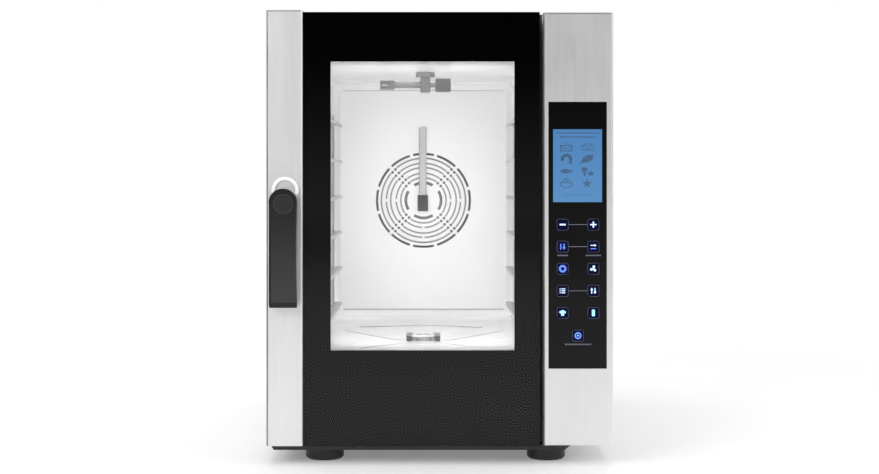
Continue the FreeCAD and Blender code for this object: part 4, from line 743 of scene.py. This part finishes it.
# key marks, drawn about the key's centre in units of one millimetre
blade = [(0.0, 0.7), (1.7, 1.5), (2.9, 3.2), (2.2, 4.8), (0.2, 5.2), (-1.4, 4.1), (-1.0, 2.2)]
arrowRight = [(-4.6, 1.5), (1.8, 1.5), (1.8, 0.1), (5.0, 2.1), (1.8, 4.1), (1.8, 2.7), (-4.6, 2.7)]
arrowDown = [(1.4, 4.6), (1.4, -1.0), (-0.2, -1.0), (2.3, -4.6), (4.8, -1.0), (3.2, -1.0), (3.2, 4.6)]
steamCap = [(-2.2, -4.6), (2.2, -4.6), (2.2, -1.2), (4.4, -0.6), (5.4, 1.2), (4.4, 3.0), (2.4, 3.2), (1.0, 4.6),
            (-1.0, 4.6), (-2.4, 3.2), (-4.4, 3.0), (-5.4, 1.2), (-4.4, -0.6), (-2.2, -1.2)]
plus = [(-1.0, -4.8), (1.0, -4.8), (1.0, -1.0), (4.8, -1.0), (4.8, 1.0), (1.0, 1.0), (1.0, 4.8), (-1.0, 4.8),
        (-1.0, 1.0), (-4.8, 1.0), (-4.8, -1.0), (-1.0, -1.0)]
barrel = [(-2.4, -4.0), (-1.8, -5.2), (1.8, -5.2), (2.4, -4.0), (2.4, 4.0), (1.8, 5.2), (-1.8, 5.2), (-2.4, 4.0)]
whiteMarks = {
    0: [bar(9.4, 2.4)],
    1: [plus],
    3: [arrowRight],
    5: [turned(blade, turn) for turn in (0, 120, 240)] + [arc(1.0, 0, 330, 11)],
    6: [bar(1.4, 1.4, -3.9, v) for v in (3.1, 0.0, -3.1)] + [bar(6.0, 1.2, 1.2, v) for v in (3.1, 0.0, -3.1)],
    7: [bar(1.2, 9.0, -2.6), bar(3.6, 1.8, -2.6, 1.9), bar(1.2, 9.0, 2.6), bar(3.6, 1.8, 2.6, -1.9)],
}
blueMarks = {
    2: [bar(1.5, 9.0, -3.0, 0.0), arrowDown],
    3: [bar(9.0, 1.2, 0.0, -3.2)],
    4: [band(4.1, 2.3, 0, 352, 40)] + [turned(bar(1.6, 1.7, 0.0, 5.5), 36 * tooth) for tooth in range(10)],
    10: [band(4.4, 2.2, 0, 356, 44)],
}
cyanMarks = {8: [steamCap], 9: [barrel], 10: [arc(1.3, 0, 330, 11)]}
millimetre = 0.001
for markName, marks, finish in (("keyMarksWhite", whiteMarks, whiteGlow), ("keyMarksBlue", blueMarks, blueGlow),
                                ("keyMarksCyan", cyanMarks, cyanGlow)):
    outlines = [moved(shape, *keySpots[key], millimetre) for key, shapes in marks.items() for shape in shapes]
    flatMarks(markName, outlines, keysLow[1] - panel["printDepth"], panel["printDepth"], "cabinet", finish)
print("control keys marked:", len(keySpots))


# display pictures
lcd = {"columns": (-0.0180, 0.0152), "topRow": 0.0303, "pitch": 0.0195, "depth": 0.0001, "scale": 0.00155,
       "titleBelow": 0.0057, "titleGap": 0.0065, "titleCounts": (26, 22), "titlePitch": 0.0026,
       "titleSize": (0.0019, 0.0024), "ruleAbove": (0.0100, 0.0132), "ruleSize": (0.050, 0.0005)}
lcdInk = mouldedSkin("lcdInk", (0.030, 0.085, 0.18), (0.045, 0.12, 0.24), 0.4, 0.5, 2600.0, 0.03)
lcdLow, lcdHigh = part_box("display")
lcdMiddle = ((lcdLow[0] + lcdHigh[0]) / 2, (lcdLow[2] + lcdHigh[2]) / 2)
cut = turned(bar(0.9, 3.6, 0, 0), -30)
stalk = [(-1.0, -4.6), (1.0, -4.6), (1.4, -0.6), (-1.4, -0.6)]
pictures = {
    "cake": [bar(13.0, 1.0, 0, -4.5), bar(1.0, 5.2, -5.6, -1.6), bar(1.0, 5.2, 5.6, -1.6), bar(12.2, 1.0, 0, 0.8),
             bar(0.8, 2.4, -3.2, 3.0), bar(0.8, 2.4, 0.0, 3.0), bar(0.8, 2.4, 3.2, 3.0), bar(8.0, 0.8, 0, -1.9)],
    "loaf": [band(6.6, 1.0, 10, 170, 16, 0, -2.0, 0.75), bar(13.6, 1.0, 0, -3.2)]
    + [moved(cut, 3.2 * step, 0.2) for step in (-1, 0, 1)],
    "shrimp": [band(4.2, 3.2, -30, 200, 18, 0.4, -0.4), [(3.4, -2.6), (6.6, -4.6), (5.0, -5.4), (2.2, -4.0)],
               turned(bar(0.5, 4.0, -4.0, 3.2), 25)],
    "leaf": [[(-6.2, -3.6), (-4.8, 0.8), (-1.2, 3.4), (3.0, 4.4), (6.4, 4.2), (5.8, 0.6), (3.2, -2.4), (-0.8, -3.8)],
             turned(bar(4.0, 0.7, -7.6, 0.2), 32)],
    "fish": [arc(5.4, 0, 350, 22, -0.6, 0.0, 0.42), [(4.2, 0.0), (7.2, 2.4), (6.2, 0.0), (7.2, -2.4)]],
    "vegetables": [moved(stalk, -2.6, -0.4), arc(3.1, 0, 340, 17, -2.6, 1.6, 0.8),
                   arc(2.9, 0, 340, 14, 3.6, -2.4, 0.75)],
    "rice": [band(6.2, 1.0, 180, 360, 16, 0, 0.4, 0.75), bar(13.8, 1.0, 0, 0.9)]
    + [arc(0.9, 0, 320, 8, x, z) for x, z in ((-3.6, 2.6), (-1.2, 3.6), (1.4, 2.7), (3.6, 3.4), (0.1, 5.0))],
    "star": [spokedShape([(90 + tip * 36, 2.2 if tip % 2 else 5.6) for tip in range(10)])],
}
lcdOutlines = []
for index, shapes in enumerate(pictures.values()):
    x = lcdMiddle[0] + lcd["columns"][index % 2]
    z = lcdMiddle[1] + lcd["topRow"] - (index // 2) * lcd["pitch"]
    lcdOutlines += [moved(shape, x, z, lcd["scale"]) for shape in shapes]
flatMarks("displayPictures", lcdOutlines, lcdLow[1] - lcd["depth"], lcd["depth"] * 2, "cabinet", lcdInk)


def dashSize(size):
    return (size[0], lcd["depth"] * 2, size[1])


titleSpots = []
for line, count in enumerate(lcd["titleCounts"]):
    titleSpots += dashRow(lcdMiddle[0], lcdLow[1], lcdHigh[2] - lcd["titleBelow"] - line * lcd["titleGap"], count,
                          lcd["titlePitch"])
growPiece("displayTitles", titleSpots, dashTree, {"Size": dashSize(lcd["titleSize"]), "Finish": lcdInk}, "cabinet")
growPiece("displayRules", [(lcdMiddle[0], lcdLow[1], lcdLow[2] + up) for up in lcd["ruleAbove"]], dashTree,
          {"Size": dashSize(lcd["ruleSize"]), "Finish": lcdInk}, "cabinet")
print("display drawn:", len(pictures), "pictures")

# black rubber strip that closes the gap between the door and the control column, a dark piece that stands in for the
# shade in that gap (painted shade)
gapShade = {"play": 0.0006, "depth": 0.029, "nose": 0.0015}


def makeGapShade():
    fasciaLow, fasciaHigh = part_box("control_fascia")
    x0, x1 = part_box("door_frame")[1][0] + gapShade["play"], fasciaLow[0]
    y1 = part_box("front_frame")[0][1]
    y0 = y1 - gapShade["depth"]
    section = [(x1, y1), (x0, y1), (x0, y0 + gapShade["nose"]), (x0 + gapShade["nose"], y0), (x1, y0)]
    shell = bmesh.new()
    stackRings(shell, [[shell.verts.new((x, y, z)) for x, y in section] for z in (fasciaLow[2], fasciaHigh[2])])
    ridePiece("gapShadeStrip", shell, "cabinet", finishes["gasket_rubber"])


makeGapShade()

# punched openings of the suction grille: dark bands along the slot edges and rings round the spoke holes, painted
# shade that makes the openings read darker
slotShades = {"rimRadius": 91.5, "rimWidth": 4.7, "slots": 12, "bridge": 4.0, "line": 0.75, "holeReach": 44.0,
        "holePitch": 9.5, "holes": 5, "rowGap": 4.0, "holeRadius": 2.45, "holeLine": 0.975, "depth": 0.00025,
        "spokeHalf": 8.0, "middleBridge": 1.2, "thinSlot": 1.6, "thinEdge": 1.3,
        "rings": ((83.0, 1), (73.0, 2), (64.6, 1), (53.5, 2), (44.6, 1))}
openingShade = mouldedSkin("openingShade", 0.20, 0.28, 0.5, 0.7, 1500.0, 0.1)
slotEdgeShade = sheetMetal("slotEdgeShade", 0.52, 0.62, 0.4, 0.55, upright, metal=0.15)


def makeGrilleShades():
    wheelLow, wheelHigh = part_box("fan_impeller")
    x, z = (wheelLow[0] + wheelHigh[0]) / 2, (wheelLow[2] + wheelHigh[2]) / 2
    front = shieldLow[1]
    step = 360 / slotShades["slots"]
    rimShades, toneShift, spots = [], [], []
    for slot in range(slotShades["slots"]):
        start = step * (slot - 0.5) + slotShades["bridge"] / 2
        for side in (-1, 1):
            radius = slotShades["rimRadius"] + side * (slotShades["rimWidth"] - slotShades["line"]) / 2
            rimShades.append(moved(band(radius, slotShades["line"], start, start + step - slotShades["bridge"], 12), x, z, millimetre))
    flatMarks("rimSlotShades", rimShades, front - slotShades["depth"] / 2, slotShades["depth"], "cabinet", openingShade)
    for radius, pieces in slotShades["rings"]:
        clear = 45 - math.degrees(math.asin(slotShades["spokeHalf"] / radius))
        spans = [(-clear, clear)]
        if pieces == 2:
            spans = [(-clear, -slotShades["middleBridge"]), (slotShades["middleBridge"], clear)]
        for quarter in range(4):
            for start, end in spans:
                for side in (-1, 1):
                    reach = radius + side * (slotShades["thinSlot"] + slotShades["thinEdge"]) / 2
                    edgeShade = band(reach, slotShades["thinEdge"], 90 * quarter + start, 90 * quarter + end, 14)
                    toneShift.append(moved(edgeShade, x, z, millimetre))
    flatMarks("thinSlotShades", toneShift, front - slotShades["depth"] / 2, slotShades["depth"], "cabinet", slotEdgeShade)
    for quarter in range(4):
        for side in (-1, 1):
            for hole in range(slotShades["holes"]):
                spot = (slotShades["holeReach"] + hole * slotShades["holePitch"], side * slotShades["rowGap"])
                u, v = turned([spot], 45 + 90 * quarter)[0]
                spots.append((x + u * millimetre, front, z + v * millimetre))
    growPiece("spokeHoleShades", spots, ringLineTree,
              {"Radius": slotShades["holeRadius"] * millimetre, "Line": slotShades["holeLine"] * millimetre,
               "Thickness": slotShades["depth"], "Corners": 12, "Finish": openingShade}, "cabinet")


makeGrilleShades()
print("suction grille openings edged")

# painted shadow lines along the upper and lower edge of the fan baffle, as thin darker strips
baffleShadowLines = {"lowerHeight": 0.0030, "upperHeight": 0.0014, "depth": 0.0003, "inset": 0.006}
edgeShadowSteel = sheetMetal("edgeShadowSteel", 0.40, 0.50, 0.4, 0.55, sideways, metal=0.15)
shadowLineMiddle = (shieldLow[0] + shieldHigh[0]) / 2
shadowLineLength = shieldHigh[0] - shieldLow[0] - 2 * baffleShadowLines["inset"]
flatMarks("baffleEdgeShadows", [bar(shadowLineLength, baffleShadowLines["lowerHeight"], shadowLineMiddle, shieldLow[2] + baffleShadowLines["lowerHeight"] / 2),
                         bar(shadowLineLength, baffleShadowLines["upperHeight"], shadowLineMiddle, shieldHigh[2] - baffleShadowLines["upperHeight"] / 2)],
          shieldLow[1] - baffleShadowLines["depth"] / 2, baffleShadowLines["depth"], "cabinet", edgeShadowSteel)

# creases pressed into the cavity floor, so that water runs to the drain, drawn as raised dark strips whose darkness is
# painted shade
creases = {"width": 0.0030, "height": 0.00045, "lift": 0.05, "endShare": 0.35, "lines": [
    [(-0.170, 0.016), (-0.115, -0.048), (-0.060, -0.104)], [(0.115, 0.004), (0.062, -0.050), (0.009, -0.104)],
    [(-0.150, 0.097), (-0.090, 0.124), (-0.027, 0.135), (0.030, 0.122), (0.083, 0.094)],
    [(-0.057, -0.140), (-0.095, -0.215), (-0.131, -0.290)], [(0.003, -0.140), (0.040, -0.215), (0.077, -0.290)],
    [(-0.172, 0.018), (-0.172, 0.150)], [(0.117, 0.008), (0.117, 0.150)]]}
creaseShadeSteel = sheetMetal("creaseShadeSteel", 0.24, 0.34, 0.3, 0.5, lengthways, metal=0.15)


def makeFloorCreases():
    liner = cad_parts["cavity_liner"]
    shell = bmesh.new()
    for line in creases["lines"]:
        rings = []
        for index, (x, y) in enumerate(line):
            before, after = line[max(index - 1, 0)], line[min(index + 1, len(line) - 1)]
            along = Vector((after[0] - before[0], after[1] - before[1])).normalized()
            share = creases["endShare"] if index in (0, len(line) - 1) else 1.0
            aside = Vector((-along.y, along.x)) * creases["width"] / 2 * share
            found, spot = liner.ray_cast(Vector((x, y, mouthLow[2] + creases["lift"])), Vector((0.0, 0.0, -1.0)))[:2]
            z = spot.z if found else mouthLow[2]
            rings.append([shell.verts.new((x + u * aside.x, y + u * aside.y, z + v * creases["height"]))
                          for u, v in ((1, -1), (-1, -1), (-1, 1), (1, 1))])
        stackRings(shell, rings)
    ridePiece("floorCreaseShades", shell, "cabinet", creaseShadeSteel)


makeFloorCreases()

# handle: a painted highlight on the upper rim of the rose, and the ring round the cap
grip = {"rimWidth": 5.4, "rimDepth": 0.0003, "rimOver": 0.2, "ringLine": 0.6, "ringDepth": 0.0002}
rimHighlight = mouldedSkin("rimHighlight", 0.94, 0.98, 0.3, 0.45, 1600.0, 0.02)
capLine = mouldedSkin("capLine", 0.035, 0.055, 0.35, 0.5, 1700.0, 0.1)
roseLow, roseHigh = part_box("handle_rose")
roseRadius = (roseHigh[0] - roseLow[0]) / 2
rimMiddle = roseRadius / millimetre - grip["rimWidth"] / 2 + grip["rimOver"]
rimShape = moved(band(rimMiddle, grip["rimWidth"], -20, 200, 40), (roseLow[0] + roseHigh[0]) / 2,
                 roseHigh[2] - roseRadius, millimetre)
flatMarks("roseRimHighlight", [rimShape], roseLow[1] - grip["rimDepth"], grip["rimDepth"] * 1.5, "door", rimHighlight)
capLow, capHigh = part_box("handle_cap")
capRadius = (capHigh[0] - capLow[0]) / 2
growPiece("capRing", [((capLow[0] + capHigh[0]) / 2, capLow[1], (capLow[2] + capHigh[2]) / 2)], ringLineTree,
          {"Radius": capRadius - grip["ringLine"] * millimetre, "Line": grip["ringLine"] * millimetre,
           "Thickness": grip["ringDepth"], "Corners": 48, "Finish": capLine}, "handle")
print("floor creases and handle trim done")

# painted shade: a darker line along the top where the sheets of the door column and the control column are folded over
topFoldShade = {"height": 0.0022, "depth": 0.0003, "inset": 0.003}
foldShadeSteel = sheetMetal("foldShadeSteel", 0.50, 0.58, 0.38, 0.54, sideways)
for foldName, host, body in (("columnTopFoldShade", "door_column", "door"), ("fasciaTopFoldShade", "control_fascia", "cabinet")):
    low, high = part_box(host)
    outline = bar(high[0] - low[0] - 2 * topFoldShade["inset"], topFoldShade["height"], (low[0] + high[0]) / 2,
                  high[2] - topFoldShade["height"] / 2)
    flatMarks(foldName, [outline], low[1] - topFoldShade["depth"] / 2, topFoldShade["depth"], body, foldShadeSteel)

# back of the casing: pop rivets down both seams and a blank rating plate
rivets = {"radius": 0.0032, "height": 0.0014, "inset": 0.009, "perSide": 7}
plate = {"size": (0.072, 0.0006, 0.042), "fromCorner": (0.120, 0.150), "corner": 0.003,
         "rivets": (0.032, 0.017), "rivetRadius": 0.0015}
plateMetal = castMetal("plateAluminium", 0.55, 0.70, 0.3, 0.5, 1400.0, 0.15, rubbed=0.85)
backLow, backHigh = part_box("back_panel")
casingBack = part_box("casing_screws")[0][1]
rivetSpots = []
for step in range(rivets["perSide"]):
    z = backLow[2] + (backHigh[2] - backLow[2]) * (step + 0.5) / rivets["perSide"]
    rivetSpots += [(backLow[0] + rivets["inset"], casingBack, z), (backHigh[0] - rivets["inset"], casingBack, z)]
growPiece("seamRivets", rivetSpots, rivetTree,
          {"Radius": rivets["radius"], "Height": rivets["height"], "Finish": finishes["fastener_steel"]}, "cabinet")


def makeBlankPlate():
    # thin aluminium plate with rounded corners and nothing printed on it
    width, thickness, height = plate["size"]
    x = backHigh[0] - plate["fromCorner"][0]
    z = backHigh[2] - plate["fromCorner"][1]
    corner = plate["corner"]
    outline = []
    for turn, u, v in ((0, 1, 1), (90, -1, 1), (180, -1, -1), (270, 1, -1)):
        outline += arc(corner, turn, turn + 90, 4, x + u * (width / 2 - corner), z + v * (height / 2 - corner))
    flatMarks("blankPlate", [outline], casingBack, thickness, "cabinet", plateMetal)
    across, up = plate["rivets"]
    spots = [(x + u * across, casingBack + thickness, z + v * up) for u in (-1, 1) for v in (-1, 1)]
    growPiece("plateRivets", spots, rivetTree,
              {"Radius": plate["rivetRadius"], "Height": rivets["height"] / 2,
               "Finish": finishes["fastener_steel"]}, "cabinet")


makeBlankPlate()
print("back panel riveted")
